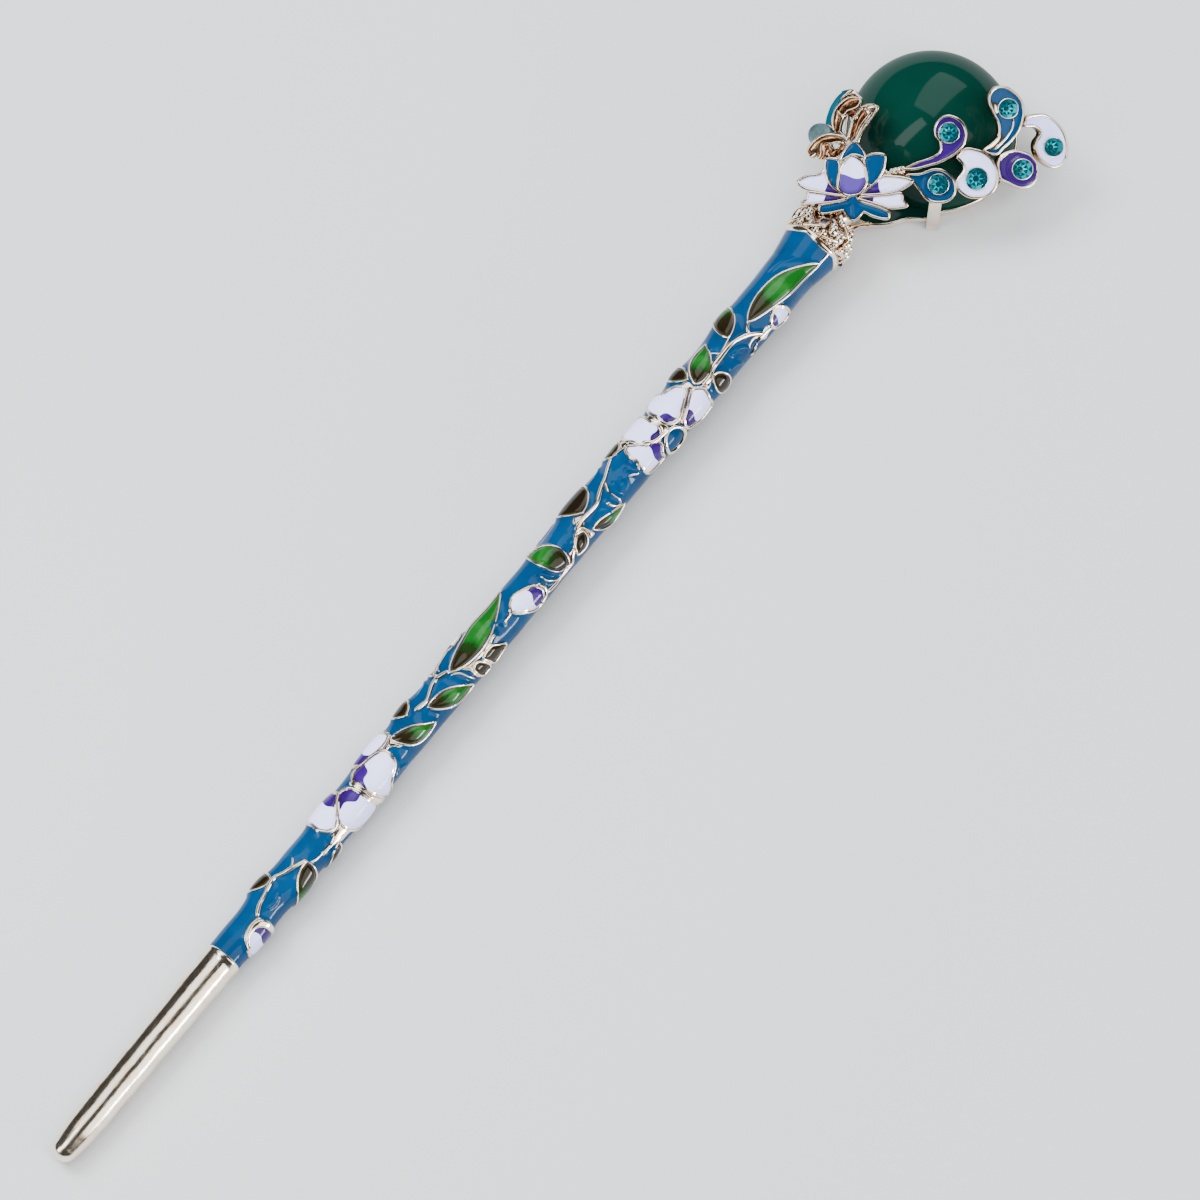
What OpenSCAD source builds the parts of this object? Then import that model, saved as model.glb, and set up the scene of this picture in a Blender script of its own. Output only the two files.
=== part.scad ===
// Hair stick: an enamelled metal stick with a lotus, a plume of curls and a green half ball at its head.
// It lies as it rests: the flat underside of the back plate is on z = 0 round the origin, +X runs towards
// the head and +Z is up. Sizes are in millimetres.

/* [Stick] */
// Length of the stick from its tip to the collar
stick_len = 138.6; // [136:0.1:141]
// Slope of the stick as it lies, in degrees
stick_lift = 1.15; // [1:0.05:1.3]
// Radius of the bare end a little behind its round tip
tip_r = 1.87; // [1.6:0.01:2]
// Radius where the bare metal stops and the enamel starts
bare_end_r = 2.17; // [2:0.01:2.3]
// Length of the bare metal end
bare_len = 28.8; // [20:0.1:32]
// Thickness of the blue ground enamel
ground_t = 0.4; // [0.3:0.05:0.5]
// Height of the raised metal outlines above the ground
rim_h = 0.25; // [0.15:0.05:0.35]
// Width of the raised metal outlines
rim_w = 0.32; // [0.25:0.01:0.4]
// Radius of the widest part of the collar
collar_r = 4.05; // [3.8:0.05:4.3]
// Length of the collar along the stick
collar_len = 4; // [3.6:0.1:4.2]
// Radius of the neck behind the collar
neck_r = 2.4; // [2.3:0.05:2.4]
// Beads in each row of the collar
collar_beads = 24; // [20:1:26]

/* [Head] */
// Radius of the green half ball
ball_r = 10.05; // [9.8:0.05:10.2]
// Thickness of the back plate
plate_t = 1.2; // [1:0.1:1.5]
// Height of the thin lip round the back plate
lip_h = 0.35; // [0.2:0.05:0.5]
// Width of that lip
lip_w = 0.3; // [0.25:0.05:0.35]
// Thickness of the cast lotus and curls
cast_t = 1.2; // [1:0.1:1.3]
// Depth of the enamel cells in the castings
cell_d = 0.45; // [0.3:0.05:0.6]
// Width of the metal edge round an enamel cell
edge_w = 0.24; // [0.2:0.01:0.3]
// Width of the metal seat round a cut stone
seat_w = 0.25; // [0.2:0.01:0.3]
// Height of a cut stone above its seat's floor
stone_h = 1.1; // [0.9:0.1:1.2]

/* [Hidden] */
METAL = "wheat";
$fn = 48;
gap = 0.03;
deg = 180 / PI;

// Place of the stick: its tip, its axis beside the origin, and the height of the axis at the tip
tip_x = -161.1;
axis_y = 1.5;
tip_z = 1.8;
// The face of the flower and the plume looks up and towards the tip's right-hand side
face_tilt = 28.3;
face_turn = -60.2;
face_roll = 6.7;

// Radius of the enamelled ground along the stick: s, radius
GROUND = [
    [bare_len, 2.22], [40, 2.26], [52, 2.38], [83, 2.46], [105, 2.62],
    [128, 2.92], [135, 3.12], [stick_len, 3.7]
];
function ground_r(s) = lookup(s, GROUND);

// Leaves on the stick: s and w of the root, s and w of the tip, width, bend.
// s runs from the tip, w is the way round from the top line towards -Y.
LEAVES = [
    [39.2, -0.9, 35.0, -2.9, 1.7, 0.2],
    [43.0, 1.1, 38.2, 4.6, 2.0, -0.4],
    [47.0, 2.5, 44.8, 4.4, 1.4, 0],
    [60.1, -0.4, 65.0, 2.1, 1.9, 0.5],
    [63.0, -1.0, 65.2, -4.2, 2.0, 0],
    [65.7, 0.5, 71.3, 2.9, 1.9, 0],
    [70.5, -0.2, 81.8, -2.0, 2.3, 0.4],
    [74.3, 1.5, 77.4, 2.9, 1.4, 0],
    [89.6, 2.5, 87.8, -2.3, 2.5, 0],
    [93.3, 1.2, 90.9, 2.4, 1.6, 0],
    [95.1, -0.1, 95.9, -5.0, 3.8, 0],
    [94.6, 2.1, 99.4, 3.2, 1.4, 0.3],
    [102.9, -1.9, 103.8, -5.2, 2.4, 0],
    [115.6, -0.7, 115.6, -4.8, 2.0, 0],
    [115.8, 0.5, 120.8, -1.8, 2.2, 0.1],
    [117.9, 1.5, 118.8, 4.6, 1.9, 0],
    [122.7, -0.1, 126.3, -4.8, 2.5, 0.3],
    [125.8, 0.5, 136.8, 3.0, 2.5, -0.8],
    [45.0, 9.0, 49.6, 7.2, 2.0, 0.3],
    [53.5, 7.6, 58.6, 9.2, 2.2, 0.3],
    [70.0, 7.2, 75.2, 9.2, 2.2, 0.3],
    [86.0, 8.6, 81.2, 6.6, 2.2, 0.3],
    [100.5, 8.0, 106.5, 9.6, 2.4, 0.3],
    [124.5, 9.2, 119.0, 11.0, 2.4, 0.3],
    [129.0, 8.6, 135.0, 11.0, 2.6, 0.3]
];
// Petals and buds: s and w of the root, s and w of the tip, width, share of the length that is violet
PETALS = [
    [34.3, 1.0, 31.1, 4.4, 2.9, 0.4],
    [51.4, -1.0, 46.9, -1.4, 3.3, 0.35],
    [53.0, 0.3, 49.9, 3.5, 3.4, 0.35],
    [53.9, 0.1, 57.4, 2.0, 3.6, 0.3],
    [55.4, -1.9, 60.0, -2.6, 2.2, 0.35],
    [72.4, -2.6, 75.2, -3.3, 1.4, 0.3],
    [84.9, 2.2, 80.7, 0.9, 2.5, 0.35],
    [107.3, 2.0, 104.0, 0.9, 3.3, 0.4],
    [108.8, 0.8, 106.4, -2.8, 3.1, 0.3],
    [110.2, 0.9, 113.8, -1.4, 3.0, 0.3],
    [111.4, 2.8, 115.8, 2.5, 2.9, 0.35],
    [127.6, 3.0, 130.5, 3.6, 1.8, 0.35],
    [63.4, 7.4, 60.3, 6.0, 2.4, 0.35],
    [63.6, 8.4, 61.0, 10.2, 2.4, 0.35],
    [64.6, 8.6, 66.6, 10.6, 2.4, 0.35],
    [64.9, 7.5, 67.6, 6.2, 2.4, 0.35],
    [93.3, 7.8, 90.2, 6.4, 2.5, 0.35],
    [93.5, 8.8, 91.0, 10.8, 2.5, 0.35],
    [94.6, 8.9, 96.8, 10.8, 2.5, 0.35],
    [94.9, 7.8, 97.8, 6.4, 2.5, 0.35]
];
// The round eye of the upper flower: s, w, radius
EYE = [109.2, 3.1, 1.6];
// Vines: each is a run of [s, w] points
VINES = [
    [[34.4, 0.7], [35.8, -0.1], [38.0, -0.6], [39.3, -0.8], [40.4, -0.2], [41.8, 0.2], [43.2, 0.9]],
    [[43.0, 1.3], [44.8, 1.7], [46.8, 1.8], [48.8, 1.4]],
    [[57.4, -0.6], [58.8, -0.5], [60.2, -0.6]],
    [[64.4, -0.4], [66.0, -0.2], [67.5, -0.7], [69.0, -1.0], [70.7, -0.3]],
    [[69.0, -1.1], [70.2, -2.2], [72.6, -2.6]],
    [[90.2, 1.9], [92.7, 0.7], [94.4, 0.3], [96.7, 0.45], [98.0, 0], [100.2, -0.8], [102.8, -1.9]],
    [[99.6, -0.4], [99.0, 0.6], [99.2, 2.9]],
    [[115.6, 1.1], [118.5, 0.9], [120.4, 0.6], [122.0, 0.6], [123.4, 1.0], [124.7, 1.8], [126.1, 3.1]],
    [[126.0, 3.1], [127.0, 3.3], [127.9, 3.1]],
    [[126.0, 3.1], [124.8, 3.4], [123.3, 4.2]],
    [[136.5, 2.9], [stick_len, 3.0]],
    [[46.0, 8.8], [53.6, 7.7], [62.0, 8.0], [70.2, 7.4]],
    [[75.0, 9.0], [86.2, 8.7], [92.0, 8.4]],
    [[96.0, 8.4], [100.6, 8.1], [112.0, 9.6], [124.4, 9.3], [129.4, 8.8]]
];
vine_w = 0.42;
// The neck ends against the ball, and its foot stands on the back plate
neck_len = 12;
foot_w = 2.4;

// Edge of the back plate: angle round the ball and radius
PLATE_EDGE = [
    [-174, 14.2], [-166, 13.1], [-159, 11.9], [-152, 11.4], [-146, 11.3], [-137, 10.5], [-125, 10.4],
    [-110, 10.4], [-95, 10.4], [-80, 10.4], [-65, 10.4], [-50, 10.4], [-35, 10.4], [-20, 10.4],
    [-5, 10.4], [10, 10.4], [25, 10.4], [40, 10.4], [55, 10.4], [70, 10.4], [85, 10.4], [100, 10.4],
    [115, 10.4], [130, 10.4], [141, 10.6], [148, 11.1], [155, 11.7], [163, 12.9], [171, 14.0], [179, 14.5]
];

// Cells of the lotus, seen square on from above its face: each is a closed run of [x, y] points along
// the middle of its metal edge. Blue cells first, then those that are white with a violet root.
LOTUS_BLUE = [
    [[-9.0, -0.75], [-10.1, -1.8], [-10.6, -2.9], [-9.9, -2.7], [-9.3, -2.3], [-8.5, -2.45], [-7.8, -2.6],
        [-7.9, -1.8]],
    [[-10.8, -3.0], [-12.2, -2.8], [-12.4, -3.4], [-12.3, -4.3], [-12.0, -5.1], [-11.5, -5.9], [-10.8, -6.5],
        [-10.8, -5.6], [-10.6, -4.2]],
    [[-7.8, -2.8], [-7.3, -2.35], [-6.3, -2.15], [-5.35, -2.4], [-5.35, -3.2], [-5.5, -3.9], [-5.9, -4.7],
        [-6.4, -5.4], [-7.1, -5.9], [-7.5, -5.2], [-7.6, -4.0]],
    [[-13.1, -8.4], [-11.8, -8.0], [-10.2, -7.6], [-9.5, -7.4], [-10.3, -8.6], [-11.4, -8.95], [-13.0, -9.15]],
    [[-9.1, -7.1], [-8.4, -7.9], [-7.8, -8.8], [-8.6, -9.7], [-9.1, -10.3], [-9.8, -9.7], [-10.3, -9.0],
        [-9.7, -8.0]],
    [[-8.2, -7.7], [-6.7, -8.3], [-5.1, -9.0], [-4.9, -9.8], [-6.1, -9.6], [-7.1, -9.2], [-7.7, -8.6]]
];
LOTUS_WHITE = [
    [[-15.6, -5.5], [-14.5, -4.8], [-13.3, -4.7], [-12.2, -5.2], [-11.4, -6.1], [-10.2, -7.0], [-12.0, -6.8],
        [-13.5, -6.5], [-14.8, -6.2]],
    [[-14.3, -6.7], [-14.5, -7.4], [-15.1, -8.1], [-13.0, -7.95], [-11.0, -7.7], [-9.8, -7.3], [-11.6, -7.0],
        [-13.0, -6.8]],
    [[-2.2, -5.4], [-3.4, -4.95], [-5.6, -4.85], [-6.4, -5.5], [-7.2, -6.1], [-8.1, -6.95], [-7.0, -6.95],
        [-5.0, -6.8], [-3.8, -6.5], [-3.0, -6.1]],
    [[-3.5, -6.8], [-3.2, -7.6], [-2.8, -8.3], [-4.8, -8.5], [-6.3, -8.05], [-8.5, -7.4], [-7.0, -7.15],
        [-5.0, -7.0]],
    [[-9.3, -2.4], [-10.2, -3.2], [-10.7, -4.3], [-10.9, -5.4], [-10.7, -6.3], [-10.1, -6.95], [-9.2, -7.05],
        [-8.2, -6.7], [-7.5, -5.6], [-7.5, -4.4], [-8.0, -3.2]]
];
// The violet part of each white cell: one side of a line, given by a point on it and its way across
LOTUS_SPLIT = [[-12.3, -6, 0], [-12.4, -7.3, 0], [-6.1, -6, 180], [-6.7, -7.5, 180], [-9.2, -5.0, -90]];
// Height of the lotus's face above the middle of the ball, along its own upright
lotus_z = 12.0;

// Curls of the plume, seen square on from above the face: x about which the face turns, height of its
// top there, turn in degrees, then x, y and radius of the stone, and the closed run of its outer edge.
CURLS = [
    [2.1, 11.6, 0, [2.1, 0.25, 1.2], [
        [-3.4, -4.0], [-2.0, -4.1], [0, -3.6], [1.0, -3.3], [2.2, -2.7], [3.2, -2.0], [3.9, -1.2], [4.2, -0.3],
        [4.2, 0.5], [3.8, 1.4], [3.0, 2.1], [2.0, 2.4], [1.1, 2.1], [0.5, 1.4], [0.3, 0.6], [0.5, -0.2],
        [1.0, -0.9], [0.9, -1.9], [0, -2.5], [-1.0, -2.85], [-2.2, -3.3]]],
    [0.9, 11.6, 0, [0.9, -5.75, 1.2], [
        [-3.0, -4.6], [-1.3, -4.4], [-0.2, -4.0], [0.6, -3.85], [1.4, -4.0], [2.2, -4.5], [2.8, -5.2],
        [3.0, -6.0], [2.9, -6.9], [2.2, -7.7], [1.0, -8.0], [0, -7.85], [-0.8, -7.3], [-1.5, -6.3],
        [-2.2, -5.5]]],
    [5.4, 11.2, 8, [5.4, -5.1, 1.3], [
        [4.0, -1.5], [5.2, -1.6], [6.3, -2.0], [7.3, -2.9], [7.9, -4.2], [7.9, -5.5], [7.5, -6.5], [6.8, -7.1],
        [5.8, -7.4], [4.7, -7.4], [3.8, -7.0], [3.1, -6.3], [2.9, -5.5], [3.1, -4.9], [3.6, -4.3],
        [3.8, -3.7], [3.5, -3.2], [3.0, -2.5]]],
    [9.0, 10.1, 17, [9.05, 3.1, 1.15], [
        [6.1, -1.8], [7.0, -1.0], [7.7, -0.3], [7.9, 0.5], [7.8, 1.5], [7.3, 2.4], [6.9, 3.3], [6.7, 4.2],
        [6.9, 5.0], [7.5, 5.6], [8.3, 5.75], [9.2, 5.5], [10.1, 4.8], [10.7, 4.0], [11.0, 3.0],
        [10.9, 2.0], [10.6, 0.9], [10.1, 0], [9.4, -0.9], [8.6, -1.6], [7.7, -2.4]]],
    [10.8, 9.4, 22, [10.8, -4.0, 1.2], [
        [8.1, -2.4], [9.0, -1.9], [10.0, -1.7], [11.0, -1.9], [11.8, -2.3], [12.5, -3.1], [12.7, -4.0],
        [12.6, -5.0], [12.0, -5.9], [11.0, -6.3], [10.0, -6.1], [9.0, -5.6], [8.2, -5.2], [7.9, -4.4],
        [7.8, -3.4]]],
    [14.2, 7.3, 31, [14.5, -1.4, 1.15], [
        [11.2, 2.1], [12.0, 2.4], [13.2, 2.5], [14.2, 2.1], [15.2, 1.2], [15.9, 0.1], [16.2, -1.2],
        [16.2, -2.4], [15.7, -3.4], [14.6, -3.9], [13.6, -3.5], [12.8, -2.8], [12.3, -1.9], [12.3, -0.8],
        [12.9, 0.2], [12.2, 0.9], [11.0, 1.0]]]
];
// Flat bars that join the castings: x, y and z of one end and of the other, width, height
BARS = [
    [[-6.1, -4.95, 11.0], [-3.2, -4.15, 11.0], 0.9, 0.9],
    [[-3.7, -4.35, 10.8], [-1.6, -4.9, 10.8], 0.6, 0.5],
    [[2.6, -1.8, 10.6], [4.6, -2.2, 10.6], 0.8, 0.5],
    [[5.6, -2.4, 10.35], [7.4, -1.4, 9.85], 0.8, 0.5],
    [[7.0, -4.2, 10.2], [8.8, -3.6, 9.4], 0.8, 0.5],
    [[10.0, 1.4, 9.0], [12.0, 1.6, 7.8], 0.8, 0.5]
];
// Upright post from the second curl down in front of the back plate's edge: x, y and height of its top
POST = [-9.75, -7.3, 7.2];
post_w = 1.5;
post_t = 0.8;

// Wing at the back of the lotus, turned towards the tip's left-hand side, with its bare inner face up:
// x about which it turns, height there, turn in degrees
WING_AT = [-9.6, 9.9, -27];
wing_t = 0.9;
// Solid pieces of the wing and then the slots through it
WING_EDGE = [
    [-9.4, -1.6], [-9.8, -0.5], [-10.5, -0.1], [-11.2, 0.1], [-11.6, 0.6], [-12.5, 1.5], [-12.3, 2.8],
    [-11.7, 4.0], [-10.9, 4.9], [-10.0, 5.35], [-9.2, 5.3], [-8.8, 4.7], [-8.3, 4.2], [-8.4, 3.4],
    [-7.8, 3.4], [-7.0, 3.6], [-6.3, 3.25], [-6.6, 2.6], [-7.1, 1.9], [-7.6, 1.2], [-8.2, 0.3], [-8.6, -0.7],
    [-8.7, -1.6]
];
WING_CURL = [
    [-9.8, -0.5], [-10.5, -0.1], [-11.3, 0.1], [-12.2, 0.2], [-13.0, 0], [-13.7, -0.4], [-14.3, -1.1],
    [-14.7, -1.8], [-14.6, -2.4], [-14.2, -2.75], [-13.2, -2.9], [-12.2, -2.9], [-11.4, -2.3],
    [-10.4, -1.8], [-9.6, -1.6]
];
WING_SLOTS = [
    [[-10.6, 0.3], [-10.6, 1.3], [-10.3, 1.9], [-9.9, 2.3], [-9.6, 1.8], [-9.7, 0.9], [-9.9, 0.2]],
    [[-11.9, -1.3], [-11.5, -1.0], [-11.0, -1.1], [-11.2, -1.5], [-11.6, -1.6]]
];
// Enamel cells in the outer side of the wing
WING_CELLS = [
    [[-12.1, 1.7], [-11.9, 2.8], [-11.3, 3.9], [-10.6, 4.6], [-10.0, 4.9], [-9.3, 4.8], [-9.8, 4.2],
        [-10.6, 3.7], [-11.1, 2.9], [-11.4, 1.9], [-11.6, 1.2]],
    [[-9.0, -0.3], [-9.1, 0.6], [-8.7, 1.8], [-8.0, 2.8], [-7.2, 3.2], [-6.8, 3.0], [-7.4, 2.1],
        [-8.1, 1.0]]
];
// Stone on the outer side of the wing: x, y, radius
WING_STONE = [-13.3, 0.0, 1.15];
// Height of that stone's cup below the wing's outer face
cup_h = 0.6;

// Straight run of n + 1 shares from 0 to 1
function shares(n) = [for (i = [0 : n]) i / n];
// Half width of a leaf (kind 0) or of a petal (kind 1) at share u of its length
function swell(u, kind) =
    kind == 0 ? pow(max(0, sin(180 * u)), 0.8)
    : u < 0.6 ? 0.3 + 0.7 * sin(150 * u)
    : sqrt(max(0, 1 - pow((u - 0.6) / 0.4, 2)));
// Outline of a leaf or petal from root b to tip t, grown outwards by grow
function blade(b, t, wid, bend, kind, grow, n = 6) =
    let (
        along = (t - b) / norm(t - b),
        side = [-along[1], along[0]],
        b2 = b - along * grow,
        d = t + along * grow * (kind == 0 ? 2 : 1) - b2,
        mid = function(u) b2 + d * u + side * bend * 4 * u * (1 - u),
        half = function(u) (wid / 2 + grow) * swell(u, kind)
    )
    concat(
        [for (u = shares(n)) if (u > 0 || kind == 1) mid(u) + side * half(u)],
        [for (i = [0 : n - 1]) let (u = 1 - (i + 1) / n) mid(u) - side * half(u)]
    );
// Points along a smooth run through pts, m to each stretch
function smooth(pts, m) =
    let (last = len(pts) - 1)
    concat(
        [for (i = [0 : last - 1], j = [0 : m - 1])
            let (
                u = j / m,
                p0 = pts[max(0, i - 1)], p1 = pts[i], p2 = pts[i + 1], p3 = pts[min(last, i + 2)]
            )
            p1 + 0.5 * u * (p2 - p0)
                + u * u * (p0 - 2.5 * p1 + 2 * p2 - 0.5 * p3)
                + u * u * u * (1.5 * (p1 - p2) + 0.5 * (p3 - p0))],
        [pts[last]]
    );
function xy(p) = [p[0], p[1]];
// Outline of a ribbon along a run of [x, y, half width] points, grown outwards by grow
function ribbon(run, grow) =
    let (
        last = len(run) - 1,
        dir = function(i)
            let (d = xy(run[min(last, i + 1)]) - xy(run[max(0, i - 1)]))
            [-d[1], d[0]] / norm(d)
    )
    concat(
        [for (i = [0 : last]) xy(run[i]) + dir(i) * (run[i][2] + grow)],
        [for (i = [last : -1 : 0]) xy(run[i]) - dir(i) * (run[i][2] + grow)]
    );

// Frame of the stick: z runs along it from the tip, x is up and y is towards -Y
module along_stick() {
    translate([tip_x, axis_y, tip_z])
        rotate([0, 90 - stick_lift, 0])
        rotate([0, 0, 180])
        children();
}
// Frame of the face: x to the right, y up and z out of the flower's face, from the ball's centre
module on_face() {
    translate([0, 0, plate_t])
        rotate([face_tilt, 0, face_turn])
        rotate([0, 0, face_roll])
        children();
}

// Way round the stick, as an angle, of a chart point
function around(p) = p[1] / ground_r(p[0]) * deg;
// Chart points seen square on from the angle a0, as [across, along]
function square_on(pts, a0) =
    [for (p = pts) let (r = ground_r(p[0])) [r * sin(around(p) - a0), p[0]]];
// Solid standing on the stick with the outline pts of the chart, from radius 0.6 outwards
module stand(pts, a0) {
    rotate([0, 0, a0])
        translate([0.6, 0, 0])
        rotate([90, 0, 90])
        linear_extrude(height = 5)
        polygon(square_on(pts, a0));
}
// Tube that follows the ground, from lo to hi above it
module ground_tube(lo, hi, start = bare_len, stop = stick_len) {
    inner = [for (g = GROUND) [g[1] + lo, g[0]]];
    outer = [for (i = [len(GROUND) - 1 : -1 : 0]) [GROUND[i][1] + hi, GROUND[i][0]]];
    rotate_extrude()
        polygon(concat(inner, outer));
}
function leaf_outline(l, grow) = blade([l[0], l[1]], [l[2], l[3]], l[4], l[5], 0, grow);
function petal_outline(p, grow) = blade([p[0], p[1]], [p[2], p[3]], p[4], 0, 1, grow);
function eye_outline(grow) =
    [for (a = [0 : 24 : 336]) [EYE[0] + (EYE[2] + grow) * cos(a), EYE[1] + (EYE[2] + grow) * sin(a)]];
function leaf_angle(l) = around([(l[0] + l[2]) / 2, (l[1] + l[3]) / 2]);
// The violet root of a petal: the part of the chart before a share of its length
module violet_part(p, back) {
    b = [p[0], p[1]];
    t = [p[2], p[3]];
    along = (t - b) / norm(t - b);
    side = [-along[1], along[0]] * p[4];
    cut = b + (t - b) * p[5] + along * back;
    start = b - along;
    stand([start - side, cut - side, cut + side, start + side], leaf_angle(p));
}

// Every leaf, petal and eye as solids grown by grow
module motifs(grow) {
    for (l = LEAVES) stand(leaf_outline(l, grow), leaf_angle(l));
    for (p = PETALS) stand(petal_outline(p, grow), leaf_angle(p));
    stand(eye_outline(grow), around(EYE));
}
module vines(grow) {
    for (v = VINES) {
        run = [for (p = smooth(v, 2)) [p[0], p[1], vine_w / 2]];
        mid = v[floor(len(v) / 2)];
        stand(ribbon(run, grow), around(mid));
    }
}

// Metal of the stick: its core, its bare end and the raised outlines and vines
module shaft() {
    round_tip = [for (a = [0 : 15 : 90]) [1.5 * sin(a), 1.3 * (1 - cos(a))]];
    core_under = [for (i = [len(GROUND) - 1 : -1 : 0]) [GROUND[i][1] - ground_t, GROUND[i][0]]];
    color(METAL)
        along_stick() {
            rotate_extrude()
                polygon(concat(
                    [[0, stick_len + collar_len], [neck_r, stick_len + collar_len], [neck_r, stick_len]],
                    core_under,
                    [[bare_end_r, bare_len], [1.98, 12], [tip_r, 5], [1.68, 2.6]],
                    [for (i = [len(round_tip) - 1 : -1 : 0]) round_tip[i]]
                ));
            intersection() {
                ground_tube(-ground_t - 0.2, rim_h);
                union() {
                    for (l = LEAVES)
                        difference() {
                            stand(leaf_outline(l, 0), leaf_angle(l));
                            stand(leaf_outline(l, -rim_w), leaf_angle(l));
                        }
                    for (p = PETALS)
                        difference() {
                            stand(petal_outline(p, 0), leaf_angle(p));
                            stand(petal_outline(p, -rim_w), leaf_angle(p));
                        }
                    difference() {
                        stand(eye_outline(0), around(EYE));
                        stand(eye_outline(-rim_w), around(EYE));
                    }
                    vines(0);
                }
            }
        }
}

// Blue ground enamel, laid round the core between the leaves, petals and vines
module shaft_ground() {
    color("royalblue")
        along_stick()
        difference() {
            ground_tube(-ground_t + gap, 0);
            motifs(gap);
            vines(gap);
        }
}
// Enamel in the leaves
module leaf_enamel() {
    color("darkgreen")
        along_stick()
        difference() {
            intersection() {
                ground_tube(-ground_t + gap, 0.05);
                for (l = LEAVES) stand(leaf_outline(l, -rim_w - gap), leaf_angle(l));
            }
            vines(gap);
            for (p = PETALS) stand(petal_outline(p, gap), leaf_angle(p));
        }
}
// White enamel in the petals and buds
module petal_enamel() {
    color("white")
        along_stick()
        difference() {
            intersection() {
                ground_tube(-ground_t + gap, 0.08);
                for (p = PETALS) stand(petal_outline(p, -rim_w - gap), leaf_angle(p));
            }
            for (p = PETALS) violet_part(p, gap);
            vines(gap);
            for (l = LEAVES) stand(leaf_outline(l, gap), leaf_angle(l));
        }
}
// Violet enamel in the petals and buds, and the blue eye's fill
module petal_violet() {
    color("rebeccapurple")
        along_stick()
        difference() {
            intersection() {
                ground_tube(-ground_t + gap, 0.08);
                union() {
                    for (p = PETALS)
                        intersection() {
                            stand(petal_outline(p, -rim_w - gap), leaf_angle(p));
                            violet_part(p, 0);
                        }
                    stand(eye_outline(-rim_w - gap), around(EYE));
                }
            }
            vines(gap);
            for (l = LEAVES) stand(leaf_outline(l, gap), leaf_angle(l));
        }
}

// Beaded collar at the root of the head
module collar() {
    bead_r = PI * collar_r / collar_beads;
    color(METAL)
        along_stick() {
            rotate_extrude()
                polygon([
                    [neck_r + gap, stick_len + gap], [3.78, stick_len + gap], [3.95, stick_len + 0.35],
                    [3.7, stick_len + 0.8], [3.7, stick_len + 3.0], [3.85, stick_len + 3.4],
                    [3.4, stick_len + collar_len], [neck_r + gap, stick_len + collar_len]
                ]);
            for (row = [0 : 1], i = [0 : collar_beads - 1])
                rotate([0, 0, 360 * (i + row / 2) / collar_beads])
                    translate([3.6, 0, stick_len + 1.35 + 1.05 * row])
                    sphere(r = bead_r);
        }
}
// Round neck that carries the lotus, with a foot that stands on the back plate
module neck() {
    color(METAL)
        difference() {
            union() {
                along_stick()
                    translate([0, 0, stick_len + collar_len])
                    cylinder(h = neck_len, r = neck_r);
                translate([-18.2, axis_y - foot_w / 2, plate_t])
                    cube([neck_len, foot_w, 3.2]);
            }
            cylinder(h = plate_t + lip_h + gap, r = ball_r + lip_w + gap, $fn = 96);
            translate([0, 0, plate_t])
                sphere(r = ball_r + gap, $fn = 96);
            on_face()
                translate([-20, -20, lotus_z - cast_t - gap])
                cube([40, 40, 20]);
        }
}
// Back plate with a thin lip round the ball
module back_plate() {
    edge = [for (e = PLATE_EDGE) [e[1] * cos(e[0]), e[1] * sin(e[0])]];
    color(METAL)
        difference() {
            union() {
                linear_extrude(height = plate_t)
                    polygon(edge);
                cylinder(h = plate_t + lip_h, r = ball_r + lip_w, $fn = 96);
            }
            translate([0, 0, plate_t])
                cylinder(h = 1, r = ball_r + gap, $fn = 96);
        }
}
// Green half ball
module ball() {
    color("darkslategray")
        intersection() {
            translate([0, 0, plate_t])
                sphere(r = ball_r, $fn = 96);
            translate([0, 0, plate_t + 20])
                cube([40, 40, 40], center = true);
        }
}

// Outline pts moved outwards by d (they run clockwise or the other way, turn says which)
function turn(pts) =
    let (n = len(pts), a = [for (i = [0 : n - 1]) cross(pts[i], pts[(i + 1) % n])])
    sign(a * [for (i = a) 1]);
function grown(pts, d) =
    let (n = len(pts), k = turn(pts))
    [for (i = [0 : n - 1])
        let (
            e1 = pts[i] - pts[(i + n - 1) % n], e2 = pts[(i + 1) % n] - pts[i],
            n1 = [e1[1], -e1[0]] * k / norm(e1), n2 = [e2[1], -e2[0]] * k / norm(e2),
            m = n1 + n2
        )
        pts[i] + m * d * 2 / max(1.1, m * m)];
// Prism of an outline in the face's frame, from z = lo to z = hi
module slab(pts, lo, hi) {
    translate([0, 0, lo])
        linear_extrude(height = hi - lo)
        polygon(pts);
}
// Frame of a piece of the face that turns by t degrees about the upright line x = x0 at height z0
module turned(x0, z0, t) {
    translate([x0, 0, z0])
        rotate([0, t, 0])
        children();
}
function unturned(pts, x0, t) = [for (p = pts) [(p[0] - x0) / cos(t), p[1]]];
// Everything of a white cell on the violet side of its split line
module split_side(s, back) {
    translate([s[0], s[1], lotus_z - 5])
        rotate([0, 0, s[2]])
        translate([-back, -20, 0])
        cube([40, 40, 10]);
}
// Flat bar between two points of the face's frame, grown outwards by grow
module bar(b, grow = 0) {
    d = b[1] - b[0];
    size = [norm(d), b[2], b[3]] + 2 * grow * [1, 1, 1];
    translate(b[0])
        rotate([0, 0, atan2(d[1], d[0])])
        rotate([0, -atan2(d[2], norm([d[0], d[1]])), 0])
        translate([-grow, -size[1] / 2, -size[2] / 2])
        cube(size);
}

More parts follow.
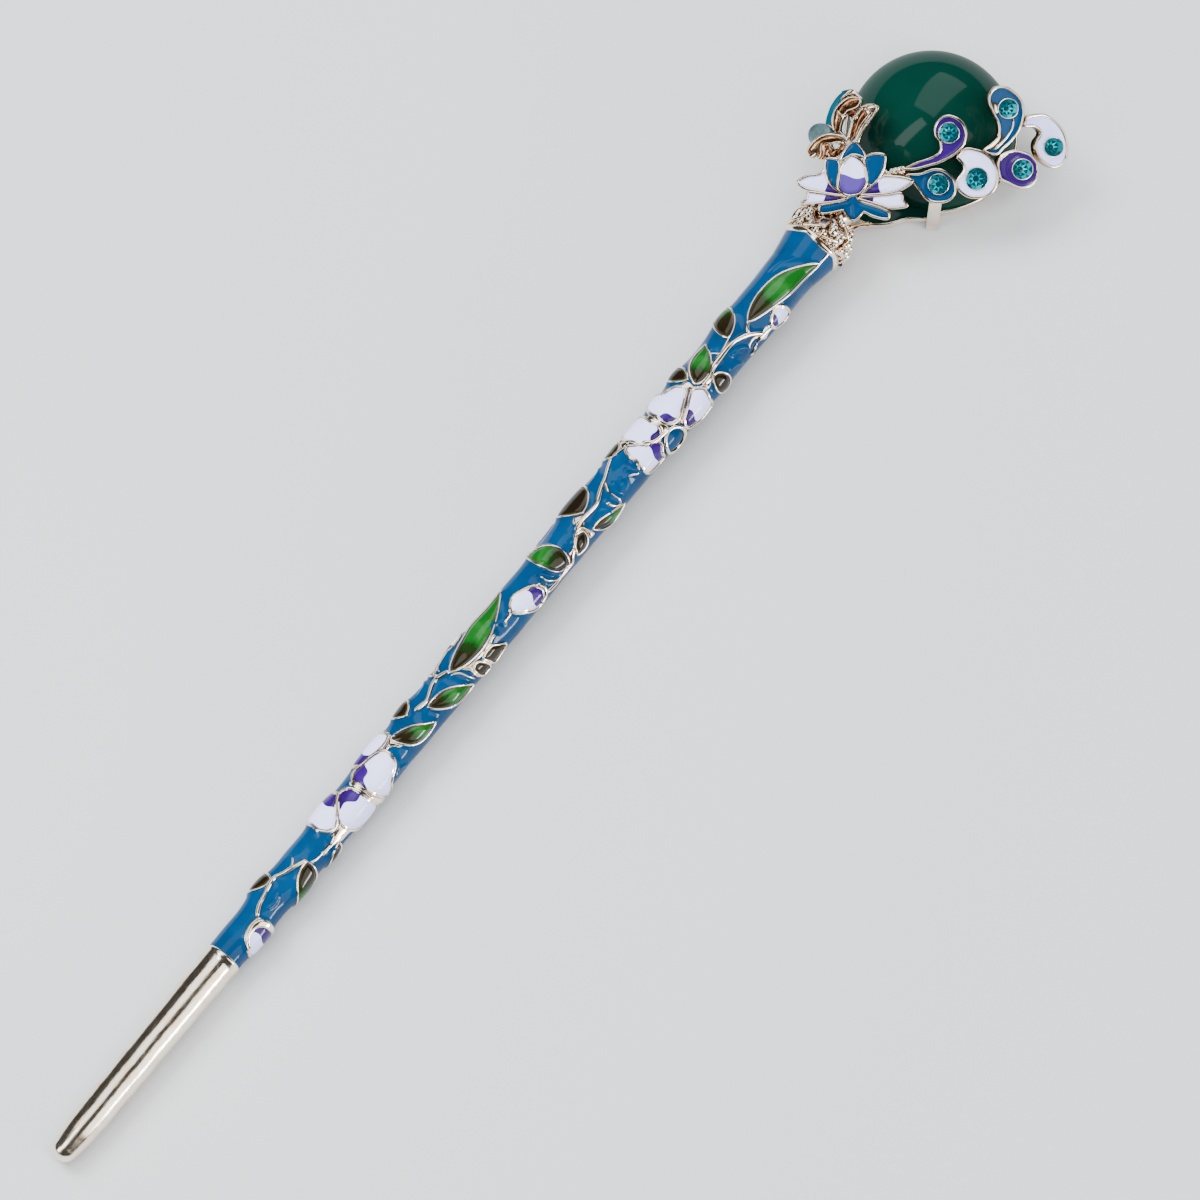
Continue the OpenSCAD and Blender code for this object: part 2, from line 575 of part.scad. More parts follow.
// Cast lotus with its open cells and the foot that stands on the neck
module lotus() {
    color(METAL)
        difference() {
            union() {
                on_face()
                    difference() {
                        for (c = concat(LOTUS_BLUE, LOTUS_WHITE))
                            slab(grown(c, edge_w / 2), lotus_z - cast_t, lotus_z);
                        for (c = concat(LOTUS_BLUE, LOTUS_WHITE))
                            slab(grown(c, -edge_w / 2), lotus_z - cell_d, lotus_z + 1);
                    }
                difference() {
                    on_face()
                        translate([-9.4, -5.0, lotus_z - cast_t - 2.5])
                        cylinder(h = 2.7, r = 1.6);
                    along_stick()
                        translate([0, 0, stick_len + collar_len])
                        cylinder(h = neck_len, r = neck_r + gap);
                }
            }
            collar_room();
            translate([0, 0, plate_t])
                sphere(r = ball_r + gap, $fn = 96);
        }
}
// Room that the collar and the end of the shaft take up
module collar_room() {
    along_stick()
        translate([0, 0, stick_len])
        cylinder(h = collar_len + gap, r = collar_r + 0.15);
}
// Room that the lotus takes up, with the gap round it
module lotus_room() {
    on_face()
        for (c = concat(LOTUS_BLUE, LOTUS_WHITE))
            slab(grown(c, edge_w / 2 + gap), lotus_z - cast_t - gap, lotus_z + gap);
}
module lotus_fill(cells) {
    for (c = cells)
        slab(grown(c, -edge_w / 2 - gap), lotus_z - cell_d, lotus_z - 0.12);
}
// Blue enamel of the lotus
module lotus_blue() {
    color("mediumblue")
        difference() {
            on_face()
                lotus_fill(LOTUS_BLUE);
            collar_room();
        }
}
// White enamel of the lotus
module lotus_white() {
    color("white")
        on_face()
        for (i = [0 : len(LOTUS_WHITE) - 1])
            difference() {
                lotus_fill([LOTUS_WHITE[i]]);
                split_side(LOTUS_SPLIT[i], gap);
            }
}
// Violet enamel of the lotus
module lotus_violet() {
    color("rebeccapurple")
        on_face()
        for (i = [0 : len(LOTUS_WHITE) - 1])
            intersection() {
                lotus_fill([LOTUS_WHITE[i]]);
                split_side(LOTUS_SPLIT[i], 0);
            }
}

// Everything of one curl that stands in its own turned plane
module in_curl(c) {
    on_face()
        turned(c[0], c[1], c[2])
        children();
}
// Place of a curl's stone in its own plane
module at_stone(c) {
    translate([(c[3][0] - c[0]) / cos(c[2]), c[3][1], 0])
        children();
}
module curl_metal(c) {
    edge = unturned(c[4], c[0], c[2]);
    in_curl(c)
        difference() {
            slab(edge, -cast_t, 0);
            difference() {
                slab(grown(edge, -edge_w), -cell_d, 1);
                at_stone(c)
                    cylinder(h = 4, r = c[3][2] + seat_w, center = true);
            }
            at_stone(c)
                translate([0, 0, -cell_d])
                cylinder(h = 4, r = c[3][2] + gap);
        }
}
module curl_fill(n) {
    c = CURLS[n];
    difference() {
        in_curl(c)
            difference() {
                slab(grown(unturned(c[4], c[0], c[2]), -edge_w - gap), -cell_d, -0.1);
                at_stone(c)
                    cylinder(h = 4, r = c[3][2] + seat_w + gap, center = true);
            }
        for (i = [0 : len(CURLS) - 1])
            if (i != n)
                in_curl(CURLS[i])
                    slab(grown(unturned(CURLS[i][4], CURLS[i][0], CURLS[i][2]), gap), -cast_t - gap, gap);
        on_face()
            for (b = BARS) bar(b, gap);
    }
}
// Cut stone with a table and twelve facets, standing on the floor of its seat
module cut_stone(r) {
    girdle = 0.55;
    translate([0, 0, -cell_d]) {
        cylinder(h = girdle, r = r, $fn = 12);
        translate([0, 0, girdle])
            cylinder(h = stone_h - girdle, r1 = r, r2 = 0.6 * r, $fn = 12);
    }
}
module stone(c) {
    color("teal")
        in_curl(c)
        at_stone(c)
        cut_stone(c[3][2]);
}
// Cast plume: six curls, the stem and bars that join them
module plume() {
    color(METAL)
        difference() {
            union() {
                for (c = CURLS) curl_metal(c);
                on_face()
                    for (b = BARS) bar(b);
            }
            lotus_room();
            translate([0, 0, plate_t])
                sphere(r = ball_r + gap, $fn = 96);
        }
}
// Upright post, bent in below to hold the edge of the back plate
module post() {
    color(METAL)
        difference() {
            translate([POST[0], POST[1], 0.1])
                rotate([0, 0, -143])
                translate([-post_t, -post_w / 2, 0])
                cube([post_t, post_w, POST[2]]);
            in_curl(CURLS[1])
                slab(grown(CURLS[1][4], 1), -cast_t - gap, 4);
        }
}
module curl_1_enamel() { color("rebeccapurple") curl_fill(0); }
module curl_2_enamel() { color("mediumblue") curl_fill(1); }
module curl_3_enamel() { color("white") curl_fill(2); }
module curl_4_enamel() { color("mediumblue") curl_fill(3); }
module curl_5_enamel() { color("rebeccapurple") curl_fill(4); }
module curl_6_enamel() { color("white") curl_fill(5); }
module stone_1() { stone(CURLS[0]); }
module stone_2() { stone(CURLS[1]); }
module stone_3() { stone(CURLS[2]); }
module stone_4() { stone(CURLS[3]); }
module stone_5() { stone(CURLS[4]); }
module stone_6() { stone(CURLS[5]); }

// Frame of the wing's bare inner face
module in_wing() {
    on_face()
        turned(WING_AT[0], WING_AT[1], WING_AT[2])
        children();
}
function on_wing(pts) = unturned(pts, WING_AT[0], WING_AT[2]);
// Cast wing with its cells and the cup of its stone on the outer side
module wing() {
    color(METAL)
        difference() {
            in_wing()
                difference() {
                    union() {
                        for (e = [WING_EDGE, WING_CURL])
                            slab(on_wing(e), -wing_t, 0);
                        wing_stone_at(-wing_t - cup_h)
                            cylinder(h = wing_t + cup_h - 0.35, r = WING_STONE[2] + seat_w);
                    }
                    for (e = WING_SLOTS)
                        slab(on_wing(e), -3, 1);
                    for (e = WING_CELLS)
                        slab(on_wing(e), -wing_t - 0.1, -wing_t + cell_d - 0.15);
                    wing_stone_at(-wing_t - cup_h - 1)
                        cylinder(h = cup_h + 1.1, r = WING_STONE[2] + gap);
                }
            lotus_room();
        }
}
module wing_stone_at(z) {
    translate([(WING_STONE[0] - WING_AT[0]) / cos(WING_AT[2]), WING_STONE[1], z])
        children();
}
// Blue-green enamel on the outer side of the wing
module wing_enamel() {
    color("teal")
        in_wing()
        difference() {
            for (e = WING_CELLS)
                slab(grown(on_wing(e), -gap), -wing_t + 0.05, -wing_t + cell_d - 0.15);
            wing_stone_at(-wing_t - cup_h)
                cylinder(h = 2, r = WING_STONE[2] + seat_w + gap);
        }
}
// Small cut stone on the outer side of the wing
module wing_stone() {
    color("teal")
        in_wing()
        wing_stone_at(-wing_t + 0.1)
        mirror([0, 0, 1]) {
            cylinder(h = 0.55, r = WING_STONE[2], $fn = 12);
            translate([0, 0, 0.55])
                cylinder(h = 0.45, r1 = WING_STONE[2], r2 = 0.6 * WING_STONE[2], $fn = 12);
        }
}

shaft();
shaft_ground();
leaf_enamel();
petal_enamel();
petal_violet();
collar();
neck();
back_plate();
ball();
post();
lotus();
lotus_blue();
lotus_white();
lotus_violet();
plume();
curl_1_enamel();
curl_2_enamel();
curl_3_enamel();
curl_4_enamel();
curl_5_enamel();
curl_6_enamel();
stone_1();
stone_2();
stone_3();
stone_4();
stone_5();
stone_6();
wing();
wing_enamel();
wing_stone();
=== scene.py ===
import math
import random

import bpy
import numpy as np
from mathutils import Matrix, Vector, kdtree


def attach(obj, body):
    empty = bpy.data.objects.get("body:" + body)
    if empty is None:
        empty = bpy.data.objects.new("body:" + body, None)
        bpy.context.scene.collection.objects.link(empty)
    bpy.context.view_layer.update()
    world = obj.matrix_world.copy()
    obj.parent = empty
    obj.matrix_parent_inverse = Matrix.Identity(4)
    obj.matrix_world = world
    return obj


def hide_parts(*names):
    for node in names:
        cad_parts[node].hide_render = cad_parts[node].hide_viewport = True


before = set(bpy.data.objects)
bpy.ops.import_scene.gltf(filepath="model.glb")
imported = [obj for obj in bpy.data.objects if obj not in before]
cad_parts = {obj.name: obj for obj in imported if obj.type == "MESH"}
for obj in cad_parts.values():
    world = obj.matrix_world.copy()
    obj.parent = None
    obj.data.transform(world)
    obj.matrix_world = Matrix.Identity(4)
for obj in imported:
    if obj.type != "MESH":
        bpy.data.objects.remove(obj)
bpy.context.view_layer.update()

bl_info = {
    "name": "Enamelled hair stick",
    "version": (1, 0, 0),
    "blender": (4, 5, 0),
    "location": "3D View > Sidebar > Hair stick",
    "description": "Models and colours an enamelled hair stick with a lotus, a plume and a domed stone",
    "category": "Object",
}

MM = 0.001
BODY = "root"

# Places
# The stick: s runs along its axis from the tip, w is the way round from the top line
# towards -Y, h is the height above the ground enamel. All in millimetres.
TIP = np.array([-161.1, 1.5, 1.8])
LIFT = math.radians(1.15)
ALONG = np.array([math.cos(LIFT), 0.0, math.sin(LIFT)])
UP = np.array([-math.sin(LIFT), 0.0, math.cos(LIFT)])
SIDE = np.array([0.0, -1.0, 0.0])
GROUND = np.array([
    [28.8, 2.22], [40, 2.26], [52, 2.38], [83, 2.46], [105, 2.62], [128, 2.92], [135, 3.12], [138.6, 3.7]])

# The face of the flower and the plume: x to the right, y up, z out of it, from the middle of the ball's
# flat side, which lies on the back plate. Tilt, turn and roll of the face in degrees.
PLATE_T = 1.2
FACE_ANGLES = (28.3, -60.2, 6.7)


def face_axes():
    """The three axes of the face in the object's frame."""
    tilt, turn, roll = (math.radians(a) for a in FACE_ANGLES)

    def about_z(v, a):
        c, s = math.cos(a), math.sin(a)
        return np.array([v[0] * c - v[1] * s, v[0] * s + v[1] * c, v[2]])

    def about_x(v, a):
        c, s = math.cos(a), math.sin(a)
        return np.array([v[0], v[1] * c - v[2] * s, v[1] * s + v[2] * c])

    return [about_z(about_x(about_z(np.array(v), roll), tilt), turn)
            for v in ((1.0, 0, 0), (0, 1.0, 0), (0, 0, 1.0))]


RIGHT, AWAY, OUT = face_axes()

# Tables of the stick
# Core as radius and s: the bare end's round tip (radius, length) and its taper, then the covered part
TIP_ROUND = (1.5, 1.3)
BARE_TAPER = [(1.68, 2.6), (1.87, 5.0), (1.98, 12.0), (2.17, 28.6)]
COVERED_CORE = [
    (2.27, 28.7), (2.28, 28.95), (2.15, 29.1), (1.9, 29.4), (1.95, 52), (2.05, 83), (2.2, 105), (2.5, 128),
    (3.1, 138.4), (2.3, 139.0), (2.3, 142),
]
# Where the blue ground enamel starts and ends, and its mesh faces along and round the stick
ENAMEL_FROM, ENAMEL_TO = 28.95, 139.2
GROUND_MESH = (760, 104)
# Leaves: s and w of the root, s and w of the tip, width, bend, share of the length that stays dark
LEAVES = [
    (38.9, -0.9, 36.6, -5.0, 2.8, 0, 0.75),
    (43.0, 0.9, 38.6, 6.0, 3.0, 0.1, 0.45),
    (47.2, 2.5, 44.5, 4.6, 1.6, 0, 1.2),
    (60.0, -0.5, 65.0, 2.2, 2.0, 0.5, 0.45),
    (63.3, -0.9, 64.3, -5.0, 2.8, 0, 1.1),
    (65.6, 0.4, 71.4, 3.1, 2.0, 0, 0.35),
    (70.4, -0.2, 82.0, -2.0, 2.7, 0.5, 0.33),
    (89.3, 2.6, 87.2, -2.6, 2.9, 0, 0.42),
    (93.3, 1.2, 90.9, 2.5, 1.7, 0, 1.2),
    (95.0, -0.1, 96.4, -6.0, 4.9, 0, 0.85),
    (94.4, 2.0, 99.5, 3.2, 1.5, 0.3, 0.4),
    (103.2, -1.6, 104.2, -5.6, 3.0, 0, 0.6),
    (115.6, -0.6, 115.5, -5.0, 2.2, 0, 1.1),
    (115.6, 0.5, 120.5, -1.8, 2.4, 0.1, 0.36),
    (117.9, 1.4, 118.5, 4.8, 2.3, 0, 1.2),
    (122.5, 0.0, 126.3, -5.2, 2.7, 0.3, 0.5),
    (125.6, 0.55, 137.0, 3.0, 2.6, -0.9, 0.3),
    (45.0, 9.0, 49.6, 7.2, 2.0, 0.3, 0.45),
    (53.5, 7.6, 58.6, 9.2, 2.2, 0.3, 0.45),
    (70.0, 7.2, 75.2, 9.2, 2.2, 0.3, 0.45),
    (86.0, 8.6, 81.2, 6.6, 2.2, 0.3, 0.45),
    (100.5, 8.0, 106.5, 9.6, 2.4, 0.3, 0.45),
    (124.5, 9.2, 119.0, 11.0, 2.4, 0.3, 0.45),
    (129.0, 8.6, 135.0, 11.0, 2.6, 0.3, 0.45),
]
# Dark cells that aren't leaves: closed runs
DARK_CELLS = [
    [(72.5, 1.7), (73.2, 1.4), (73.8, 1.8), (74.3, 2.7), (74.3, 3.4), (73.2, 3.5), (72.6, 2.8)],
    [(74.2, 1.7), (74.6, 1.5), (75.9, 1.5), (76.6, 2.0), (77.4, 2.7), (77.3, 3.2), (75.8, 3.6), (75.0, 3.5),
        (74.6, 2.6)],
]
# Petals and buds: root, tip, shares of the length between which the violet lies, closed run
PETALS = [
    ((34.8, 2.4), (30.9, 2.4), -1, 0.46, [(34.3, 0.75), (33.2, 0.6), (32.1, 1.0), (31.3, 1.8), (30.95, 3.0),
        (31.2, 4.4), (32.0, 5.4), (33.4, 5.9), (34.6, 5.4), (34.9, 4.0), (34.7, 2.6), (34.6, 1.4)]),
    ((51.4, -1.9), (46.5, -1.5), -1, 0.38, [(46.6, -0.3), (47.1, 0.6), (48.0, 0.95), (48.9, 0.65),
        (49.7, -0.05), (50.6, -0.75), (51.3, -1.2), (51.4, -2.2), (51.0, -3.3), (50.0, -4.2), (48.6, -4.4),
        (47.3, -3.8), (46.8, -2.6), (46.7, -1.4)]),
    ((51.9, -0.9), (50.2, 3.7), -1, 0.3, [(48.9, 0.65), (49.7, -0.05), (50.6, -0.75), (51.3, -1.2),
        (52.1, -1.05), (52.75, -0.5), (52.95, 0.3), (53.0, 1.4), (53.3, 2.6), (53.5, 3.8), (52.8, 4.8),
        (51.4, 4.8), (50.0, 3.8), (49.1, 2.6), (48.8, 1.7)]),
    ((53.9, -1.4), (56.7, 2.8), -1, 0.33, [(53.55, 0.7), (53.5, -0.2), (53.6, -0.9), (54.1, -1.4),
        (54.8, -1.65), (55.5, -1.5), (56.2, -1.25), (57.0, -1.05), (57.7, -0.8), (58.4, -0.4), (58.6, 0.2),
        (58.5, 0.9), (58.2, 1.5), (57.5, 1.95), (56.8, 2.3), (56.3, 2.9), (56.1, 3.8), (55.6, 4.6),
        (55.0, 4.3), (54.6, 3.4), (54.1, 2.4), (53.75, 1.6)]),
    ((55.2, -2.4), (60.5, -2.4), -1, 0.35, [(55.5, -1.5), (56.2, -1.25), (57.0, -1.05), (57.7, -0.8),
        (58.5, -0.65), (59.2, -0.65), (59.9, -0.8), (60.4, -1.2), (60.3, -2.2), (60.4, -3.2), (60.0, -4.0),
        (58.6, -4.5), (57.0, -4.5), (55.8, -3.9), (55.2, -2.9), (55.2, -2.1)]),
    ((72.3, -3.0), (75.5, -3.0), -1, 0.4, [(72.4, -2.7), (73.2, -2.2), (74.6, -2.3), (75.5, -3.0),
        (74.8, -3.8), (73.4, -4.0), (72.5, -3.5)]),
    ((85.2, 2.0), (80.4, 0.9), 0.08, 0.4, [(80.4, 0.8), (81.0, 0.15), (82.0, -0.1), (83.0, 0.1),
        (84.0, 0.5), (84.6, 0.95), (85.0, 1.6), (85.0, 2.4), (84.6, 2.9), (83.7, 3.05), (82.7, 2.85),
        (81.7, 2.1), (81.0, 1.5)]),
    ((107.6, 1.8), (103.7, 1.2), -1, 0.44, [(104.2, -0.95), (104.8, -1.0), (105.2, -0.5), (105.6, 0.05),
        (106.0, 0.5), (106.7, 0.8), (107.2, 1.05), (107.5, 1.5), (107.4, 2.0), (106.9, 2.6), (106.9, 3.2),
        (106.3, 3.4), (105.2, 3.3), (104.2, 3.1), (103.8, 2.6), (103.7, 1.6), (103.8, 0.6), (103.8, -0.2)]),
    ((108.0, 1.3), (106.9, -3.3), -1, 0.2, [(105.2, -1.7), (105.4, -0.9), (105.6, 0.05), (106.0, 0.5),
        (106.7, 0.8), (107.2, 1.05), (108.0, 1.25), (108.5, 0.9), (108.8, 0.3), (108.75, -0.6),
        (108.9, -1.4), (109.0, -2.4), (108.9, -3.4), (107.9, -4.2), (106.6, -4.0), (105.6, -3.0)]),
    ((109.9, 1.3), (113.8, -1.9), -1, 0.22, [(109.6, -0.5), (109.6, -1.5), (110.0, -2.4), (110.6, -3.4),
        (111.6, -4.0), (112.4, -3.4), (112.5, -2.4), (112.7, -1.8), (113.5, -1.5), (114.1, -1.2),
        (114.5, -0.5), (114.4, 0.2), (113.4, 0.7), (112.3, 1.15), (111.2, 1.55), (110.3, 1.4), (109.7, 0.8),
        (109.5, 0.1)]),
    ((111.2, 2.6), (116.0, 2.4), -1, 0.32, [(111.2, 2.6), (111.5, 2.0), (112.2, 1.6), (113.2, 1.15),
        (114.0, 0.8), (114.8, 0.6), (115.4, 0.9), (115.9, 1.5), (115.8, 2.3), (115.6, 3.0), (115.8, 3.8),
        (114.8, 4.2), (113.2, 4.2), (112.3, 3.7), (111.6, 3.5), (111.2, 3.1)]),
    ((127.3, 3.0), (130.6, 3.2), -1, 0.34, [(127.4, 3.1), (127.7, 2.5), (128.4, 2.05), (129.3, 1.95),
        (129.9, 2.4), (130.3, 3.3), (130.3, 4.0), (129.3, 4.35), (128.3, 4.1), (127.6, 3.7)]),
]
# Broad bits of metal where wires run together: closed runs
PATCHES = [
    [(34.9, 1.2), (35.2, 2.6), (35.0, 4.2), (34.6, 5.0), (34.35, 4.2), (34.3, 3.0), (34.1, 2.0),
        (33.5, 1.45), (32.6, 1.4), (31.9, 1.75), (31.45, 2.6), (31.1, 2.4), (31.6, 1.3), (32.6, 0.7),
        (33.8, 0.5)],
    [(53.0, -0.9), (53.5, -0.9), (53.5, 1.0), (53.75, 1.8), (54.2, 2.8), (54.8, 3.8), (55.3, 4.8),
        (54.3, 5.0), (53.6, 3.8), (53.3, 2.6), (53.0, 1.4)],
    [(44.8, 1.5), (46.2, 1.55), (47.2, 1.25), (48.2, 1.15), (48.8, 0.95), (48.85, 1.6), (49.2, 2.5),
        (49.9, 3.15), (48.8, 2.8), (47.6, 2.7), (46.9, 2.3), (45.9, 2.05), (44.8, 2.0)],
    [(51.3, -1.2), (52.2, -1.15), (52.7, -0.7), (52.2, -0.6), (51.6, -0.9)],
    [(58.5, -0.3), (59.4, -0.5), (60.4, -0.9), (60.6, -0.4), (60.0, -0.1), (60.4, 0.9), (59.9, 0.8),
        (59.4, 0.1), (58.8, 0)],
    [(108.8, -1.3), (109.5, -1.4), (109.5, 0.2), (109.6, 1.1), (109.2, 1.45), (108.3, 1.35), (107.6, 1.6),
        (107.3, 1.15), (108.2, 1.1), (108.75, 0.5), (108.8, -0.4)],
    [(111.1, 1.6), (112.2, 1.25), (113.2, 0.85), (112.2, 1.55), (111.4, 2.0), (111.1, 2.4), (110.9, 2.0)],
    [(114.0, -1.3), (114.5, -0.9), (115.2, -0.7), (115.5, -0.2), (115.4, 0.5), (115.9, 1.0), (116.8, 1.2),
        (117.4, 1.35), (117.0, 1.9), (116.2, 2.0), (115.9, 1.4), (115.3, 0.8), (114.6, 0.4), (114.4, -0.3)],
    [(104.1, -1.3), (104.3, -2.0), (105.0, -2.3), (105.2, -1.6), (105.2, -1.0), (104.8, -1.0),
        (104.4, -1.1)],
    [(71.4, 0.5), (72.4, 0.85), (74.0, 1.05), (75.9, 0.9), (76.2, 1.6), (75.8, 1.45), (74.3, 1.45),
        (73.6, 1.4), (72.7, 1.45), (72.4, 2.0), (72.6, 2.8), (72.2, 2.4), (72.0, 1.4)],
    [(87.0, 2.7), (88.2, 2.6), (89.4, 2.4), (90.2, 1.6), (90.8, 1.4), (91.2, 1.8), (90.4, 2.5), (89.9, 3.1),
        (88.6, 3.1), (87.6, 3.1)],
    [(92.5, 0.9), (92.9, 0.3), (93.4, 0.2), (94.4, 0.25), (94.3, 0.8), (94.0, 1.0), (94.2, 1.9),
        (94.3, 2.6), (93.4, 2.5), (93.5, 1.6), (93.2, 1.0)],
    [(93.2, 0.0), (93.8, -0.6), (94.3, -0.3), (94.9, 0.1), (94.4, 0.3), (93.4, 0.2)],
    [(125.3, 2.6), (125.8, 2.7), (126.6, 2.7), (127.4, 2.9), (127.3, 3.4), (126.6, 3.5), (125.9, 3.8),
        (125.2, 3.4), (124.6, 3.5), (123.9, 3.9), (123.5, 4.3), (123.4, 4.0), (124.0, 3.4), (124.9, 3.1)],
]
# Petals of the flowers on the underside: root, tip, width
BACK_PETALS = [
    ((63.4, 7.4), (60.3, 6.0), 2.4), ((63.6, 8.4), (61.0, 10.2), 2.4), ((64.6, 8.6), (66.6, 10.6), 2.4),
    ((64.9, 7.5), (67.6, 6.2), 2.4), ((93.3, 7.8), (90.2, 6.4), 2.5), ((93.5, 8.8), (91.0, 10.8), 2.5),
    ((94.6, 8.9), (96.8, 10.8), 2.5), ((94.9, 7.8), (97.8, 6.4), 2.5),
]
# Round eye of the upper flower: s, w, radius
EYE = (109.2, 3.1, 1.6)
# Vines and solid bits of metal: radius at the start, radius at the end, run of points
VINES = [
    (0.24, 0.26, [(34.5, 0.6), (35.6, 0), (36.6, -0.25), (38.0, -0.6), (39.3, -0.8), (40.3, -0.3),
        (41.5, 0.15), (43.2, 0.8)]),
    (0.12, 0.2, [(42.5, -0.7), (41.9, -0.2), (41.3, 0.1)]),
    (0.14, 0.16, [(43.0, 1.2), (44.0, 1.6), (45.2, 1.6)]),
    (0.1, 0.16, [(101.8, 1.2), (102.4, 1.5), (103.0, 1.85), (103.5, 1.4), (103.7, 0.9)]),
    (0.13, 0.13, [(73.9, 1.6), (74.3, 2.4), (74.7, 3.4)]),
    (0.16, 0.12, [(69.4, -1.2), (69.0, -2.2), (69.3, -3.4), (69.8, -4.4)]),
    (0.14, 0.1, [(69.8, -1.3), (70.5, -2.6), (70.9, -3.6)]),
    (0.22, 0.24, [(58.6, -0.1), (59.4, -0.3), (60.2, -0.6)]),
    (0.24, 0.26, [(64.3, -0.5), (66.0, -0.2), (67.0, -0.5), (68.0, -0.9), (69.0, -1.0), (70.6, -0.3)]),
    (0.22, 0.26, [(90.9, 1.7), (91.8, 1.2), (92.6, 0.7)]),
    (0.24, 0.2, [(75.9, 1.1), (76.6, 0.95), (77.2, 0.9)]),
    (0.2, 0.14, [(69.0, -1.2), (70.0, -2.1), (72.4, -2.5), (73.2, -2.2)]),
    (0.14, 0.12, [(70.2, 0.1), (71.0, 0.7), (71.5, 1.8), (71.9, 2.6)]),
    (0.14, 0.13, [(70.5, 0), (72.0, 0.6), (72.2, 2.0), (72.5, 3.0)]),
    (0.14, 0.22, [(78.8, 1.0), (79.6, 0.85), (80.5, 0.8)]),
    (0.24, 0.3, [(83.6, 3.0), (84.8, 2.6), (85.2, 1.8), (84.8, 0.9)]),
    (0.24, 0.16, [(85.0, 2.5), (86.4, 2.8), (87.8, 2.8), (89.2, 2.5)]),
    (0.13, 0.16, [(85.9, 0.8), (86.1, 1.6), (86.9, 2.4), (87.4, 2.8)]),
    (0.3, 0.24, [(93.3, 0.3), (94.4, 0.3), (96.6, 0.45), (98.0, 0), (98.9, -0.35), (100.0, -0.7),
        (101.2, -1.3), (102.7, -2.0)]),
    (0.18, 0.1, [(99.6, -0.5), (99.0, 0.6), (99.05, 1.5), (99.2, 2.2), (99.0, 2.8)]),
    (0.3, 0.14, [(97.7, 1.2), (98.0, 1.9), (98.5, 2.4), (99.0, 2.8)]),
    (0.2, 0.2, [(102.8, -1.9), (103.8, -1.6), (104.8, -1.1)]),
    (0.26, 0.26, [(106.0, 0), (106.9, 0.9), (108.2, 1.2), (109.6, 1.3)]),
    (0.4, 0.28, [(116.1, 1.2), (117.3, 1.25), (118.5, 0.8), (120.0, 0.7), (122.0, 0.7), (123.3, 1.0),
        (124.5, 1.6), (125.5, 2.4), (126.1, 3.0)]),
    (0.12, 0.18, [(119.7, -0.5), (120.3, 0.4), (120.8, 0.7)]),
    (0.18, 0.22, [(120.6, 0.5), (121.5, 0.35), (122.6, 0.1)]),
    (0.12, 0.18, [(123.4, 2.9), (123.9, 2.5), (124.7, 2.4), (125.4, 2.7)]),
    (0.22, 0.24, [(124.6, 1.5), (125.1, 0.9), (125.8, 0.5)]),
    (0.16, 0.2, [(136.6, 2.9), (137.6, 3.0), (138.8, 3.0)]),
    (0.2, 0.2, [(46.0, 8.8), (53.6, 7.7), (62.0, 8.0), (70.2, 7.4)]),
    (0.2, 0.2, [(75.0, 9.0), (86.2, 8.7), (92.0, 8.4)]),
    (0.2, 0.2, [(96.0, 8.4), (100.6, 8.1), (112.0, 9.6), (124.4, 9.3), (129.4, 8.8)]),
]
# Low ridges that the blue enamel covers: height, run of points
RIDGES = [
    (0.22, [(46.7, 1.2), (46.2, 2.2), (46.6, 3.2)]),
    (0.2, [(57.2, 2.8), (58.4, 2.6), (59.4, 3.2)]),
    (0.2, [(76.6, -0.1), (78.0, 0.1), (78.8, 0.8)]),
    (0.24, [(85.8, 0.2), (86.6, 0.6), (87.2, 1.6)]),
    (0.26, [(100.2, 0.4), (100.0, 1.4), (100.7, 2.0), (101.4, 1.5), (101.2, 0.8)]),
    (0.22, [(102.4, 0.6), (102.8, 1.4), (103.3, 1.9)]),
    (0.18, [(96.6, 1.4), (97.2, 2.0), (97.0, 2.8)]),
    (0.22, [(121.4, 1.6), (122.6, 1.9), (123.4, 2.6)]),
    (0.2, [(120.0, 2.6), (121.0, 2.9), (121.8, 3.6)]),
    (0.16, [(36.2, 1.0), (37.2, 1.2), (38.0, 0.9)]),
    (0.16, [(89.4, -3.6), (91.0, -3.4), (92.4, -3.6)]),
    (0.18, [(98.6, -1.9), (100.0, -2.2), (101.0, -2.9)]),
    (0.18, [(66.4, -1.6), (67.6, -2.0), (68.2, -2.8)]),
    (0.18, [(132.4, -1.2), (134.0, -0.8), (135.4, 0.2)]),
]

# Tables of the head
# Collar: profile as radius and s; rows of granules as s, radius, count and size
COLLAR_PROFILE = [
    (3.1, 138.9), (3.5, 138.5), (3.74, 138.55), (3.88, 138.8), (3.82, 139.1), (3.6, 139.4), (3.5, 140.5),
    (3.35, 141.4), (2.9, 142.2), (2.45, 142.9), (2.1, 143.3), (1.2, 143.4),
]
COLLAR_ROWS = [
    (139.8, 3.7, 21, 0.5), (140.65, 3.75, 20, 0.58), (141.5, 3.55, 19, 0.56), (142.3, 3.15, 16, 0.5),
    (142.9, 2.8, 14, 0.45),
]
SCROLLS = 9
# Two ends of the small flared spur at the collar's foot
SPUR = ((-9.6, -11.2, 7.2), (-7.2, -10.55, 7.6))
# Neck as radius and s, and its foot on the back plate: three sizes and the middle
NECK_PROFILE = [(1.5, 142.6), (1.6, 143.6), (2.0, 145.2), (2.42, 147.5), (2.42, 151.0), (2.3, 151.4)]
FOOT = ((8.6, 2.4, 3.2), (-13.9, 1.5, PLATE_T + 1.6))
